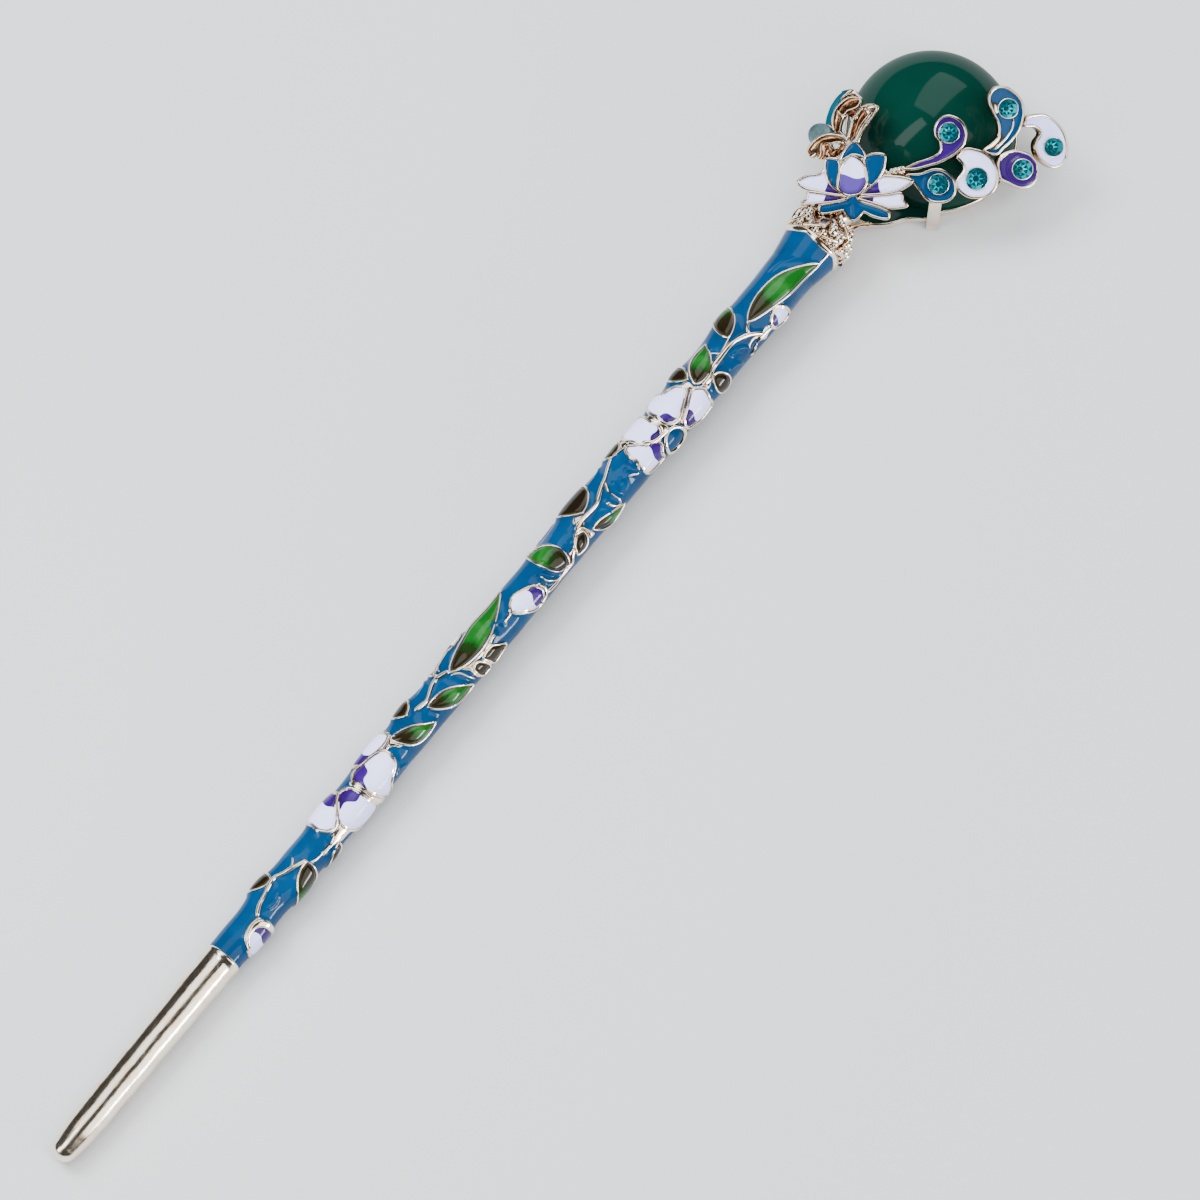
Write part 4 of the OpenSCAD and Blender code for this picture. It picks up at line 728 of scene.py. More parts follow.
def fill(outline, step, place, height, tone=None, hole=None, flip=False, slots=()):
    """A sheet of enamel or cast floor inside a closed outline, under whose wire its edge is hidden."""
    lo, hi = outline.min(axis=0) - step, outline.max(axis=0) + step
    count = np.maximum(3, np.ceil((hi - lo) / step)).astype(int)
    clear_choice()
    bpy.ops.mesh.primitive_grid_add(x_subdivisions=int(count[0]), y_subdivisions=int(count[1]), size=1)
    obj = bpy.context.object
    xy = lo + (points_of(obj)[:, :2] + 0.5) * (hi - lo)
    inside = depth_in(outline, xy)
    away = inside < -0.55 * step
    if hole is not None:
        away |= np.hypot(xy[:, 0] - hole[0], xy[:, 1] - hole[1]) < hole[2]
    for slot in slots:
        away |= depth_in(slot, xy) > 0.03
    set_points(obj, np.column_stack([xy, inside]))
    drop(obj, away)
    co = points_of(obj)
    xy, inside = co[:, :2], np.maximum(0, co[:, 2])
    set_points(obj, place(xy, height(xy, inside)))
    note(obj, "edge", inside)
    note(obj, "tone", tone(xy) if tone else 0.0)
    if flip:
        edit_all(obj, lambda: bpy.ops.mesh.flip_normals())
    return obj


def bright(xy):
    """Tone of metal that is bright all over."""
    return np.ones(len(xy))


def domed(base, rise, reach):
    """A height that rises from base at the edge, over the distance reach."""
    return lambda xy, d: base + rise * (1 - (1 - np.clip(d / reach, 0, 1)) ** 2)


def dished(base, lip, reach):
    """A height that falls from a lip at the edge to base, over the distance reach."""
    return lambda xy, d: base + lip * (1 - np.clip(d / reach, 0, 1)) ** 2


def rolled(height, x, y, radius):
    """The same height with a low round ridge about a stone."""
    def shape(xy, d):
        off = np.hypot(xy[:, 0] - x, xy[:, 1] - y) - radius
        return height(xy, d) + 0.14 * np.exp(-(off / 0.15) ** 2)
    return shape


def wire(place, run, radius, closed, h, seed, uneven=0.1):
    """Points and radii of one wire; run is already even, radius is one number or a start and an end."""
    rng = np.random.default_rng(seed)
    n = len(run)
    ends = radius if isinstance(radius, tuple) else (radius, radius)
    r = np.linspace(ends[0], ends[1], n)
    knots = np.interp(np.arange(n), np.linspace(0, n, max(4, n // 6)), rng.uniform(-1, 1, max(4, n // 6)))
    r = r * (1 + uneven * knots)
    if not closed:
        u = np.linspace(0, 1, n)
        r = r * np.sqrt(np.clip(np.minimum(u, 1 - u) * n / 2.0, 0.1, 1))
    run = np.asarray(run)
    at = place(run, np.full(n, h))
    return at, r, closed, (place(run, np.full(n, h + 1)) - at) / MM


def wires(name, runs, sides=3):
    """One mesh of round wires; how near its crest each point lies is noted as its tone, which sets painted
    shade.
    """
    clear_choice()
    bpy.ops.curve.primitive_nurbs_path_add()
    obj = bpy.context.object
    c = obj.data
    c.splines.clear()
    c.dimensions = "3D"
    c.bevel_depth = MM
    c.bevel_resolution = sides
    c.use_fill_caps = True
    middles = kdtree.KDTree(sum(len(run[0]) for run in runs))
    ups, radii_of = [], []
    for pts, radii, closed, *up in runs:
        sp = c.splines.new("POLY")
        sp.points.add(len(pts) - 1)
        sp.points.foreach_set("co", np.column_stack([pts, np.ones(len(pts))]).ravel())
        sp.points.foreach_set("radius", radii)
        sp.use_cyclic_u = closed
        for i, p in enumerate(pts):
            middles.insert(p, len(ups))
            ups.append(up[0][i] if up else None)
            radii_of.append(radii[i])
    middles.balance()
    bpy.ops.object.convert(target="MESH")
    obj = bpy.context.object
    obj.name = name
    tones = []
    for p in points_of(obj):
        at, k, _ = middles.find(p)
        tones.append(1.0 if ups[k] is None else (p - np.array(at)).dot(ups[k]) / (radii_of[k] * MM))
    note(obj, "tone", np.array(tones))
    return obj


def slab(outlines, lo, hi, place, bevel=0.12):
    """A flat casting with rounded edges; outlines after the first are holes through it."""
    clear_choice()
    bpy.ops.curve.primitive_bezier_circle_add()
    obj = bpy.context.object
    c = obj.data
    c.splines.clear()
    c.dimensions = "2D"
    c.fill_mode = "BOTH"
    c.extrude = (hi - lo) / 2 - bevel
    c.bevel_depth = bevel
    c.bevel_resolution = 2
    for i, line in enumerate(outlines):
        line = grown(line, -bevel if i == 0 else bevel)
        sp = c.splines.new("POLY")
        sp.points.add(len(line) - 1)
        sp.points.foreach_set("co", np.column_stack([line, np.zeros(len(line)), np.ones(len(line))]).ravel())
        sp.use_cyclic_u = True
    bpy.ops.object.convert(target="MESH")
    obj = bpy.context.object
    edit_all(obj, lambda: bpy.ops.mesh.remove_doubles(threshold=0.0005))
    co = points_of(obj)
    set_points(obj, place(co[:, :2], co[:, 2] + (lo + hi) / 2))
    return obj


def tube(profile, count, place):
    """A turned piece: profile is a run of (radius, along); place puts (radius, turn, along) arrays."""
    p = np.asarray(profile, float)
    clear_choice()
    bpy.ops.mesh.primitive_grid_add(x_subdivisions=len(p) - 1, y_subdivisions=count, size=1)
    obj = bpy.context.object
    co = points_of(obj)
    i = np.rint((co[:, 0] + 0.5) * (len(p) - 1)).astype(int)
    turn = (co[:, 1] + 0.5) * 2 * math.pi
    set_points(obj, place(p[i, 0], turn, p[i, 1]))
    seam_closed(obj)
    return obj


def beads(name, spots, segments=10, rings=7):
    """Round or egg-shaped beads: each spot is a middle (metres), three half sizes and three axes."""
    clear_choice()
    bpy.ops.mesh.primitive_uv_sphere_add(segments=segments, ring_count=rings, radius=1)
    first = bpy.context.object
    base = points_of(first)
    objs = []
    for mid, sizes, axes in spots:
        o = first.copy()
        o.data = first.data.copy()
        bpy.context.scene.collection.objects.link(o)
        set_points(o, mid + (base * np.array(sizes)) @ np.array(axes))
        objs.append(o)
    bpy.data.objects.remove(first, do_unlink=True)
    return joined(objs, name)


def box(size, bevel, segments):
    """A box with rounded edges about the origin."""
    clear_choice()
    bpy.ops.mesh.primitive_cube_add(size=1)
    obj = bpy.context.object
    set_points(obj, points_of(obj) * np.array(size))
    edit_all(obj, lambda: bpy.ops.mesh.bevel(offset=bevel, segments=segments, affect="EDGES"))
    return obj


def block(ends, width, height):
    """A flat bar with rounded edges between two points of the face."""
    a, b = (face_point(np.array(e)) for e in ends)
    obj = box((1, 1, 1), 0.12, 2)
    d = b - a
    x = d / np.linalg.norm(d)
    z = OUT - x * OUT.dot(x)
    z /= np.linalg.norm(z)
    y = np.cross(z, x)
    co = points_of(obj)
    co = ((a + b) / 2 + co[:, :1] * d + co[:, 1:2] * y * width * MM + co[:, 2:3] * z * height * MM)
    set_points(obj, co)
    return obj


def face_point(p):
    """Place of one point in the flower's face."""
    return on_face(0, p[2], 0)(np.array([[p[0], p[1]]]), np.zeros(1))[0]


# Materials
def linear(rgb):
    """A screen colour from 0 to 255 as Blender's linear one."""
    out = []
    for v in rgb:
        v /= 255.0
        out.append(v / 12.92 if v <= 0.04045 else ((v + 0.055) / 1.055) ** 2.4)
    return tuple(out)


class Shade:
    """A material under construction."""

    def __init__(self, name):
        self.mat = bpy.data.materials.new(name)
        self.mat.use_nodes = True
        self.tree = self.mat.node_tree
        self.tree.nodes.clear()
        self.out = self.tree.nodes.new("ShaderNodeOutputMaterial")
        self.bsdf = self.tree.nodes.new("ShaderNodeBsdfPrincipled")
        self.link(self.bsdf.outputs[0], self.out.inputs[0])
        self.coords = None

    def link(self, a, b):
        self.tree.links.new(a, b)

    def node(self, kind, **values):
        n = self.tree.nodes.new(kind)
        for key, value in values.items():
            if hasattr(n, key):
                setattr(n, key, value)
            else:
                n.inputs[key.replace("_", " ")].default_value = value
        return n

    def noise(self, scale, detail, rough, stretch=None):
        if self.coords is None:
            self.coords = self.node("ShaderNodeTexCoord")
        n = self.node("ShaderNodeTexNoise", Scale=scale, Detail=detail, Roughness=rough)
        if stretch:
            m = self.node("ShaderNodeMapping", Scale=stretch)
            self.link(self.coords.outputs["Object"], m.inputs["Vector"])
            self.link(m.outputs[0], n.inputs["Vector"])
        else:
            self.link(self.coords.outputs["Object"], n.inputs["Vector"])
        return n.outputs["Fac"]

    def spread(self, value, stops):
        r = self.node("ShaderNodeValToRGB")
        e = r.color_ramp.elements
        e[0].position, e[0].color = stops[0][0], (*stops[0][1], 1)
        e[1].position, e[1].color = stops[-1][0], (*stops[-1][1], 1)
        for pos, col in stops[1:-1]:
            new = e.new(pos)
            new.color = (*col, 1)
        self.link(value, r.inputs["Fac"])
        return r.outputs["Color"]

    def between(self, value, a, b, lo, hi):
        m = self.node("ShaderNodeMapRange", From_Min=a, From_Max=b, To_Min=lo, To_Max=hi)
        self.link(value, m.inputs["Value"])
        return m.outputs["Result"]

    def attribute(self, name):
        return self.node("ShaderNodeAttribute", attribute_name=name).outputs["Fac"]

    def math(self, what, a, b):
        n = self.node("ShaderNodeMath", operation=what)
        for i, v in enumerate((a, b)):
            if isinstance(v, (int, float)):
                n.inputs[i].default_value = v
            else:
                self.link(v, n.inputs[i])
        return n.outputs[0]

    def mix(self, how, factor, a, b):
        n = self.node("ShaderNodeMix", data_type="RGBA", blend_type=how)
        for key, v in ((0, factor), (6, a), (7, b)):
            if isinstance(v, (int, float)):
                n.inputs[key].default_value = v
            elif isinstance(v, tuple):
                n.inputs[key].default_value = (*v, 1)
            else:
                self.link(v, n.inputs[key])
        return n.outputs[2]

    def bump(self, height, strength, distance, after=None):
        n = self.node("ShaderNodeBump", Strength=strength, Distance=distance)
        self.link(height, n.inputs["Height"])
        if after:
            self.link(after, n.inputs["Normal"])
        return n.outputs["Normal"]

    def set(self, **values):
        for key, value in values.items():
            name = key.replace("_", " ")
            if isinstance(value, (int, float)):
                self.bsdf.inputs[name].default_value = value
            elif isinstance(value, tuple):
                self.bsdf.inputs[name].default_value = (*value, 1) if len(value) == 3 else value
            else:
                self.link(value, self.bsdf.inputs[name])
        return self


def gold(name, grain, depth, rough, dark, stretch=None, foot=False):
    """Pale gold plate; dark is how brown its cloudy patches are, and foot paints shade that browns a wire's
    foot.
    """
    m = Shade(name)
    base = tuple(colours().gold)
    rosy = tuple(c * k for c, k in zip(base, (0.8, 0.6, 0.46)))
    cloud = m.noise(420, 3, 0.6)
    tint = m.spread(cloud, [(0.35, tuple(b + (r - b) * dark for b, r in zip(base, rosy))), (0.62, base)])
    # Painted shade: with foot set, each wire is mixed towards dark brown on its lower side, next to the
    # enamel it stands on
    if foot:
        crest = m.between(m.attribute("tone"), -0.1, 0.75, 0.0, 1.0)
        tint = m.mix("MIX", crest, tuple(c * k for c, k in zip(base, (0.34, 0.22, 0.14))), tint)
    fine = m.noise(grain, 4, 0.62, stretch)
    lumps = m.noise(grain * 0.28, 2, 0.5, stretch)
    first = m.bump(lumps, 0.55, depth * 2.2)
    m.set(Base_Color=tint, Metallic=1.0, Roughness=m.between(fine, 0.3, 0.7, rough * 0.7, rough * 1.35),
          Normal=m.bump(fine, 0.6, depth, first))
    return m.mat


def worn_metal(name):
    """Brown to copper-coloured metal, dark in its hollows."""
    m = Shade(name)
    tint = m.spread(m.noise(900, 2, 0.5),
                    [(0.3, (0.13, 0.055, 0.025)), (0.5, (0.42, 0.2, 0.09)), (0.7, (0.75, 0.5, 0.3))])
    m.set(Base_Color=tint, Metallic=1.0, Roughness=0.22, Normal=m.bump(m.noise(1300, 2, 0.5), 0.6, 0.0001))
    return m.mat


def enamel(name, colour, deep, rough=0.16, bumps=0.00002, coat=0.2):
    """Glossy enamel of one colour, a little uneven in depth and with a fine orange-peel gloss."""
    m = Shade(name)
    cloud = m.noise(260, 3, 0.55)
    tint = m.spread(cloud, [(0.35, deep), (0.65, colour)])
    m.set(Base_Color=tint, Roughness=rough, Coat_Weight=coat, Coat_Roughness=0.03, Specular_IOR_Level=0.06,
          Normal=m.bump(m.noise(900, 2, 0.5), 0.25, bumps, m.bump(m.noise(330, 1, 0.4), 0.5, 0.00012)))
    return m.mat


def leaf_enamel(name):
    """Green enamel that is thin and dark over the metal at the leaf's root and along its edge."""
    m = Shade(name)
    uneven = m.math("SUBTRACT", m.noise(700, 3, 0.6), 0.5)
    tone = m.math("ADD", m.attribute("tone"), m.math("MULTIPLY", uneven, 0.5))
    dark = linear((28, 27, 9))
    warm = linear((66, 54, 22))
    green = tuple(colours().leaf_green)
    light = tuple(min(1.0, c * 1.45 + 0.004) for c in green)
    # Painted highlight: the stop at 0.86 is a lighter green band just beyond the line from dark to green
    body = m.spread(tone, [(0.0, linear((24, 18, 9))), (0.36, dark), (0.5, linear((16, 40, 12))),
                           (0.62, green), (0.86, light), (1.0, green)])
    rim = m.between(m.attribute("edge"), 0.12, 0.38, 0.8, 0.0)
    m.set(Base_Color=m.mix("MIX", rim, body, warm), Roughness=0.14, Coat_Weight=0.26, Coat_Roughness=0.03,
          Specular_IOR_Level=0.16, Metallic=m.between(tone, 0.3, 0.6, 0.2, 0.0),
          Normal=m.bump(m.noise(1100, 2, 0.5), 0.3, 0.00002))
    return m.mat


def petal_enamel(name, pale=0.0):
    """White enamel with a crisp edge to the violet, which painted shade deepens at the edge; pale makes it
    lilac.
    """
    m = Shade(name)
    wobble = m.math("MULTIPLY", m.math("SUBTRACT", m.noise(350, 2, 0.5), 0.5), 0.16)
    tone = m.math("ADD", m.attribute("tone"), wobble)
    violet = tuple(colours().violet)
    lilac = (0.075, 0.045, 0.25)
    deep, light = (tuple(a * k * (1 - pale) + b * pale for a, b in zip(violet, lilac)) for k in (0.6, 1.5))
    root = m.spread(m.noise(420, 3, 0.55), [(0.3, deep), (0.75, light)])
    # Painted shade: the violet is darkened towards the cell's edge
    root = m.mix("MULTIPLY", m.between(m.attribute("edge"), 0.1, 0.7, 1.0, 0.0), root, (0.55, 0.45, 0.6))
    white = m.spread(m.noise(300, 2, 0.5), [(0.3, linear((197, 203, 248))), (0.7, tuple(colours().white))])
    # Painted shade: the whole cell turns darker and warmer right along its edge, beside the wire
    edge = m.between(m.attribute("edge"), 0.1, 0.3, 0.35, 0.0)
    body = m.mix("MIX", m.between(tone, -0.03, 0.03, 0.0, 1.0), root, white)
    m.set(Base_Color=m.mix("MULTIPLY", edge, body, linear((200, 180, 170))), Roughness=0.16, Coat_Weight=0.25,
          Coat_Roughness=0.03, Specular_IOR_Level=0.16, Normal=m.bump(m.noise(900, 2, 0.5), 0.2, 0.00002))
    return m.mat


def stone_colour(name, metal, rough):
    """Backed cut stone: each facet carries its own painted reflection, from near black to bright cyan."""
    m = Shade(name)
    teal = tuple(colours().stone)
    stops = [(0.0, (0.0, 0.002, 0.006)), (0.3, (0.0, 0.012, 0.022)), (0.52, teal), (0.78, (0.0, 0.36, 0.42)),
             (1.0, (0.03, 0.85, 0.92))]
    m.set(Base_Color=m.spread(m.attribute("tone"), stops), Metallic=metal, Roughness=rough,
          Specular_IOR_Level=0.1)
    return m.mat


def clear_stone(name):
    m = Shade(name)
    m.set(Base_Color=(0.0, 0.2, 0.24), Roughness=0.02, Alpha=0.07, Specular_IOR_Level=0.2)
    return m.mat


def foil_back(name):
    """Dull grey back of the foiled stone that sits in the wing."""
    m = Shade(name)
    tint = m.spread(m.noise(800, 3, 0.6), [(0.3, (0.03, 0.07, 0.08)), (0.7, (0.12, 0.2, 0.22))])
    m.set(Base_Color=tint, Metallic=0.6, Roughness=0.36, Normal=m.bump(m.noise(1500, 2, 0.5), 0.6, 0.00006))
    return m.mat


def ball_stone(name):
    m = Shade(name)
    base = tuple(colours().ball)
    deep = tuple(c * 0.62 for c in base)
    tint = m.spread(m.noise(55, 2, 0.45), [(0.35, deep), (0.68, base)])
    m.set(Base_Color=tint, Roughness=0.4, Coat_Weight=0.27, Coat_Roughness=0.08, Specular_IOR_Level=0.0,
          Normal=m.bump(m.noise(140, 2, 0.5), 0.05, 0.00005))
    return m.mat


# Settings
class HairStickSizes(bpy.types.PropertyGroup):
    """Sizes that a maker would change."""
    wire: bpy.props.FloatProperty(
        name="Wire", description="Radius of the metal edge round an enamel cell", default=0.00017,
        min=0.0001, max=0.0003, unit="LENGTH", precision=5)
    cell_step: bpy.props.FloatProperty(
        name="Cell mesh", description="Width of a mesh face in the enamel cells", default=0.00011,
        min=0.00005, max=0.0004, unit="LENGTH", precision=5)
    ball: bpy.props.FloatProperty(
        name="Ball", description="Radius of the domed stone", default=0.01005, min=0.009, max=0.0102,
        unit="LENGTH", precision=5)
    casting: bpy.props.FloatProperty(
        name="Casting", description="Thickness of the lotus and the curls", default=0.0012,
        min=0.0008, max=0.0014, unit="LENGTH", precision=5)
    light: bpy.props.FloatProperty(
        name="Light", description="Strength of the studio light", default=1.0, min=0.1, max=4.0)


class HairStickColours(bpy.types.PropertyGroup):
    """Colours that a maker would change."""
    gold: bpy.props.FloatVectorProperty(
        name="Gold", description="Pale gold plate", subtype="COLOR", default=(0.95, 0.87, 0.74), min=0, max=1)
    ground: bpy.props.FloatVectorProperty(
        name="Blue", description="Blue enamel", subtype="COLOR", default=(0.0, 0.036, 0.108), min=0, max=1)
    leaf_green: bpy.props.FloatVectorProperty(
        name="Leaf green", description="Green enamel of the leaves' tips", subtype="COLOR",
        default=(0.003, 0.067, 0.006), min=0, max=1)
    violet: bpy.props.FloatVectorProperty(
        name="Violet", description="Violet enamel", subtype="COLOR", default=(0.022, 0.0034, 0.095),
        min=0, max=1)
    white: bpy.props.FloatVectorProperty(
        name="White", description="White enamel", subtype="COLOR", default=(0.61, 0.645, 1.0), min=0, max=1)
    stone: bpy.props.FloatVectorProperty(
        name="Cut stones", description="Teal of the cut stones", subtype="COLOR", default=(0.0, 0.09, 0.125),
        min=0, max=1)
    ball: bpy.props.FloatVectorProperty(
        name="Ball", description="Green of the domed stone", subtype="COLOR", default=(0.0, 0.027, 0.0185),
        min=0, max=1)


def sizes():
    return bpy.context.scene.hair_stick_sizes


def colours():
    return bpy.context.scene.hair_stick_colours


def once(name, maker, *args):
    """The material of that name, made the first time it is asked for."""
    return bpy.data.materials.get(name) or maker(name, *args)


def drawn_gold():
    """Gold of the bare end, with a fine grain that runs along the stick."""
    return once("drawn gold", gold, 2400, 0.00003, 0.17, 0.5, (0.35, 1.0, 1.0))


def smooth_gold():
    return once("pale gold", gold, 900, 0.00002, 0.16, 0.5)


def wire_gold():
    # Gold with painted shade towards the foot of each wire
    return once("wire gold", gold, 900, 0.00002, 0.13, 0.5, None, True)


def cast_gold():
    return once("cast gold", gold, 1000, 0.00003, 0.16, 1.0)


def coppery():
    """Bare cast floors, where the plate is thin over the copper-coloured base."""
    return once("coppery metal", worn_metal)


def blue_enamel():
    c = tuple(colours().ground)
    return once("blue enamel", enamel, c, tuple(v * 0.72 for v in c))


def violet_enamel():
    c = tuple(colours().violet)
    return once("violet enamel", enamel, tuple(v * 1.15 for v in c), tuple(v * 0.65 for v in c))


def white_enamel():
    return once("white enamel", enamel, tuple(colours().white), linear((188, 192, 244)))


def teal_enamel():
    return once("teal enamel", enamel, (0.0, 0.065, 0.105), (0.0, 0.035, 0.06))


# Stage
class HAIRSTICK_OT_stage(bpy.types.Operator):
    """Sets the pale floor, the soft lights and the camera"""
    bl_idname = "hair_stick.stage"
    bl_label = "Stage"

    def area(self, name, where, aim, size, power, tint, seen):
        bpy.ops.object.light_add(type="AREA", location=where)
        light = bpy.context.object
        light.name = name
        light.data.shape = "RECTANGLE"
        light.data.size, light.data.size_y = size
        light.data.energy = power * sizes().light
        light.data.color = tint
        light.rotation_euler = (Vector(aim) - Vector(where)).to_track_quat("-Z", "Y").to_euler()
        light.visible_glossy = seen
        light.visible_transmission = seen
        light.visible_camera = False

    def execute(self, context):
        clear_choice()
        bpy.ops.mesh.primitive_plane_add(size=4, location=(0, 0, 0))
        floor = context.object
        floor.name = "floor"
        m = Shade("pale floor")
        m.set(Base_Color=FLOOR_COLOUR, Roughness=0.85, Specular_IOR_Level=0.2)
        floor.data.materials.append(m.mat)

        world = bpy.data.worlds.new("studio")
        context.scene.world = world
        world.use_nodes = True
        background = world.node_tree.nodes["Background"]
        background.inputs[0].default_value = ROOM_COLOUR
        background.inputs[1].default_value = ROOM_LIGHT
        for light in LIGHTS:
            self.area(*light)

        bpy.ops.object.camera_add(location=CAMERA_AT)
        cam = context.object
        cam.name = "photo camera"
        look = Vector(CAMERA_AIM) - cam.location
        cam.rotation_euler = look.to_track_quat("-Z", "Y").to_euler()
        cam.data.sensor_width = 36
        cam.data.lens = CAMERA_LENS
        cam.data.clip_start = 0.01
        context.scene.camera = cam
        return {"FINISHED"}


# Stick
def leaf_cells():
    """Each leaf's outline, with its root, its tip and the share that stays dark."""
    for a, b, c, d, wid, bend, dark in LEAVES:
        yield blade((a, b), (c, d), wid, bend), (np.array([a, b]), np.array([c, d]), dark)


def petal_cells():
    """Each petal's outline, root and tip, and the shares between which it is violet."""
    for root, tip, lo, hi, run in PETALS:
        yield loop_of(run, 0.12), np.array(root), np.array(tip), lo, hi
    for root, tip, wid in BACK_PETALS:
        yield blade(root, tip, wid), np.array(root), np.array(tip), -1, 0.35


def eye_ring(radius):
    """A round outline about the middle of the upper flower."""
    a = np.linspace(0, 2 * math.pi, 40, endpoint=False)
    return np.column_stack([EYE[0] + radius * np.cos(a), EYE[1] + radius * np.sin(a)])


class HAIRSTICK_OT_stick_metal(bpy.types.Operator):
    """Makes the stick's core, its bare end and the raised wires, leaf edges and vines"""
    bl_idname = "hair_stick.stick_metal"
    bl_label = "Stick, metal"

    def execute(self, context):
        turns = [math.radians(a) for a in range(0, 91, 9)]
        tip = [(TIP_ROUND[0] * math.sin(a), TIP_ROUND[1] * (1 - math.cos(a))) for a in turns]
        taper = smooth([tip[-1]] + BARE_TAPER, 14)
        core = tube(tip[:-1] + [tuple(p) for p in taper] + COVERED_CORE, 96, self.hammered)

        wire_r = sizes().wire / MM
        edges = [(cell[0], 0.7, 0.07) for cell in leaf_cells()]
        edges += [(cell[0], 0.8, 0.08) for cell in petal_cells()]
        edges += [(smooth(cell, 6, True), 0.8, 0.06) for cell in DARK_CELLS]
        runs = [wire(on_stick, even(line, 0.16, True), wire_r * thick, True, h, seed)
                for seed, (line, thick, h) in enumerate(edges, 1)]
        runs.append(wire(on_stick, eye_ring(EYE[2]), wire_r * 1.5, True, 0.06, 77))
        runs += [wire(on_stick, run_of(points, 0.15), (a, b), False, 0.02, seed, 0.16)
                 for seed, (a, b, points) in enumerate(VINES, len(edges) + 1)]
        broad = [(even(grown(cell[0], 0.3), 0.2, True), 0.14, domed(-0.12, 0.2, 0.2))
                 for cell in petal_cells()]
        broad += [(loop_of(patch, 0.12, 5), 0.1, domed(-0.06, 0.34, 0.32)) for patch in PATCHES]
        sheets = [fill(line, step, on_stick, height, bright, flip=True) for line, step, height in broad]
        metal = joined([wires("stick_wires", runs)] + sheets, "stick_wires")
        hand_in(metal, wire_gold(), "gold_metal", "shaft", angle=60)
        core.name = "stick_core"
        hand_in(core, drawn_gold(), "gold_metal", "shaft", angle=60)
        return {"FINISHED"}

    @staticmethod
    def hammered(r, turn, s):
        """Place round the stick, slightly uneven along the bare end."""
        uneven = 0.006 * np.sin(s * 0.9 + 2 * np.sin(turn)) * np.clip((s - 3) / 4, 0, 1)
        return round_stick(r * (1 + uneven * np.clip((28 - s) / 3, 0, 1)), turn, s)


class HAIRSTICK_OT_stick_ground(bpy.types.Operator):
    """Makes the blue ground enamel, which climbs a little at every wire and covers low ridges"""
    bl_idname = "hair_stick.stick_ground"
    bl_label = "Stick, blue ground"

    def execute(self, context):
        lines = [even(cell[0], 0.2, True) for cell in (*leaf_cells(), *petal_cells())]
        lines += [run_of(points, 0.2, 4) for _, _, points in VINES]
        near_wire, _ = self.tree_of(lines)
        near_ridge, ridge_of = self.tree_of([run_of(run, 0.12, 4) for _, run in RIDGES])

        clear_choice()
        bpy.ops.mesh.primitive_grid_add(x_subdivisions=GROUND_MESH[0], y_subdivisions=GROUND_MESH[1], size=1)
        obj = context.object
        co = points_of(obj)
        s = ENAMEL_FROM + (co[:, 0] + 0.5) * (ENAMEL_TO - ENAMEL_FROM)
        turn = (co[:, 1] + 0.5) * 2 * math.pi - math.pi
        sw = np.column_stack([s, turn * np.interp(s, GROUND[:, 0], GROUND[:, 1])])
        flat = on_stick(sw, np.zeros(len(sw)))
        h = np.full(len(sw), -0.1)
        for i, p in enumerate(flat):
            d = near_wire.find(p)[2] / MM
            h[i] += 0.13 * math.exp(-(d / 0.3) ** 2) + 0.05 * math.exp(-(d / 0.8) ** 2)
            _, k, far = near_ridge.find(p)
            h[i] += RIDGES[ridge_of[k]][0] * math.exp(-(far / MM / 0.2) ** 2)
        set_points(obj, on_stick(sw, h))
        seam_closed(obj)
        obj.name = "stick_blue_ground"
        hand_in(obj, blue_enamel(), "blue_enamel", "shaft_ground", angle=60)
        return {"FINISHED"}

    @staticmethod
    def tree_of(runs):
        """A tree of the points of some runs on the stick, and which run each point is of."""
        spots = [on_stick(run, np.zeros(len(run))) for run in runs]
        tree = kdtree.KDTree(sum(len(p) for p in spots))
        owners = []
        for k, points in enumerate(spots):
            for p in points:
                tree.insert(p, len(owners))
                owners.append(k)
        tree.balance()
        return tree, owners


class HAIRSTICK_OT_stick_cells(bpy.types.Operator):
    """Makes the enamel of the leaves, petals and buds of the stick"""
    bl_idname = "hair_stick.stick_cells"
    bl_label = "Stick, leaves and petals"

    def execute(self, context):
        step = sizes().cell_step / MM
        leaves = []
        for outline, (root, tip, dark) in leaf_cells():
            way = (tip - root) / np.sum((tip - root) ** 2)
            leaves.append(fill(outline, step, on_stick, domed(-0.04, 0.2, 0.7),
                               tone=lambda xy: 0.5 + ((xy - root) @ way - dark) / 0.6, flip=True))
        for cell in DARK_CELLS:
            leaves.append(fill(smooth(cell, 6, True), step, on_stick, domed(-0.04, 0.16, 0.6),
                               tone=lambda xy: np.full(len(xy), 0.12), flip=True))
        hand_in(joined(leaves, "stick_leaves"), once("leaf enamel", leaf_enamel), "leaf_enamel",
                "leaf_enamel", angle=70)
        petals = []
        for outline, root, tip, lo, hi in petal_cells():
            size = np.linalg.norm(tip - root)
            way = (tip - root) / size ** 2

            def tone(xy):
                t = (xy - root) @ way
                bow = 0.04 * np.sin(3 * ((xy - root) @ np.array([-way[1], way[0]])) * size)
                t = t + bow
                return np.maximum(lo - t, t - hi) * size

            petals.append(fill(outline, step, on_stick, domed(-0.02, 0.2, 0.8), tone=tone, flip=True))
        hand_in(joined(petals, "stick_petals"), once("petal enamel", petal_enamel), "white_enamel",
                "petal_enamel", "petal_violet", angle=70)
        eye = fill(eye_ring(EYE[2]), step, on_stick, domed(-0.06, 0.3, 1.5), flip=True)
        eye.name = "stick_flower_eye"
        hand_in(eye, blue_enamel(), "blue_enamel", "petal_violet", angle=70)
        return {"FINISHED"}


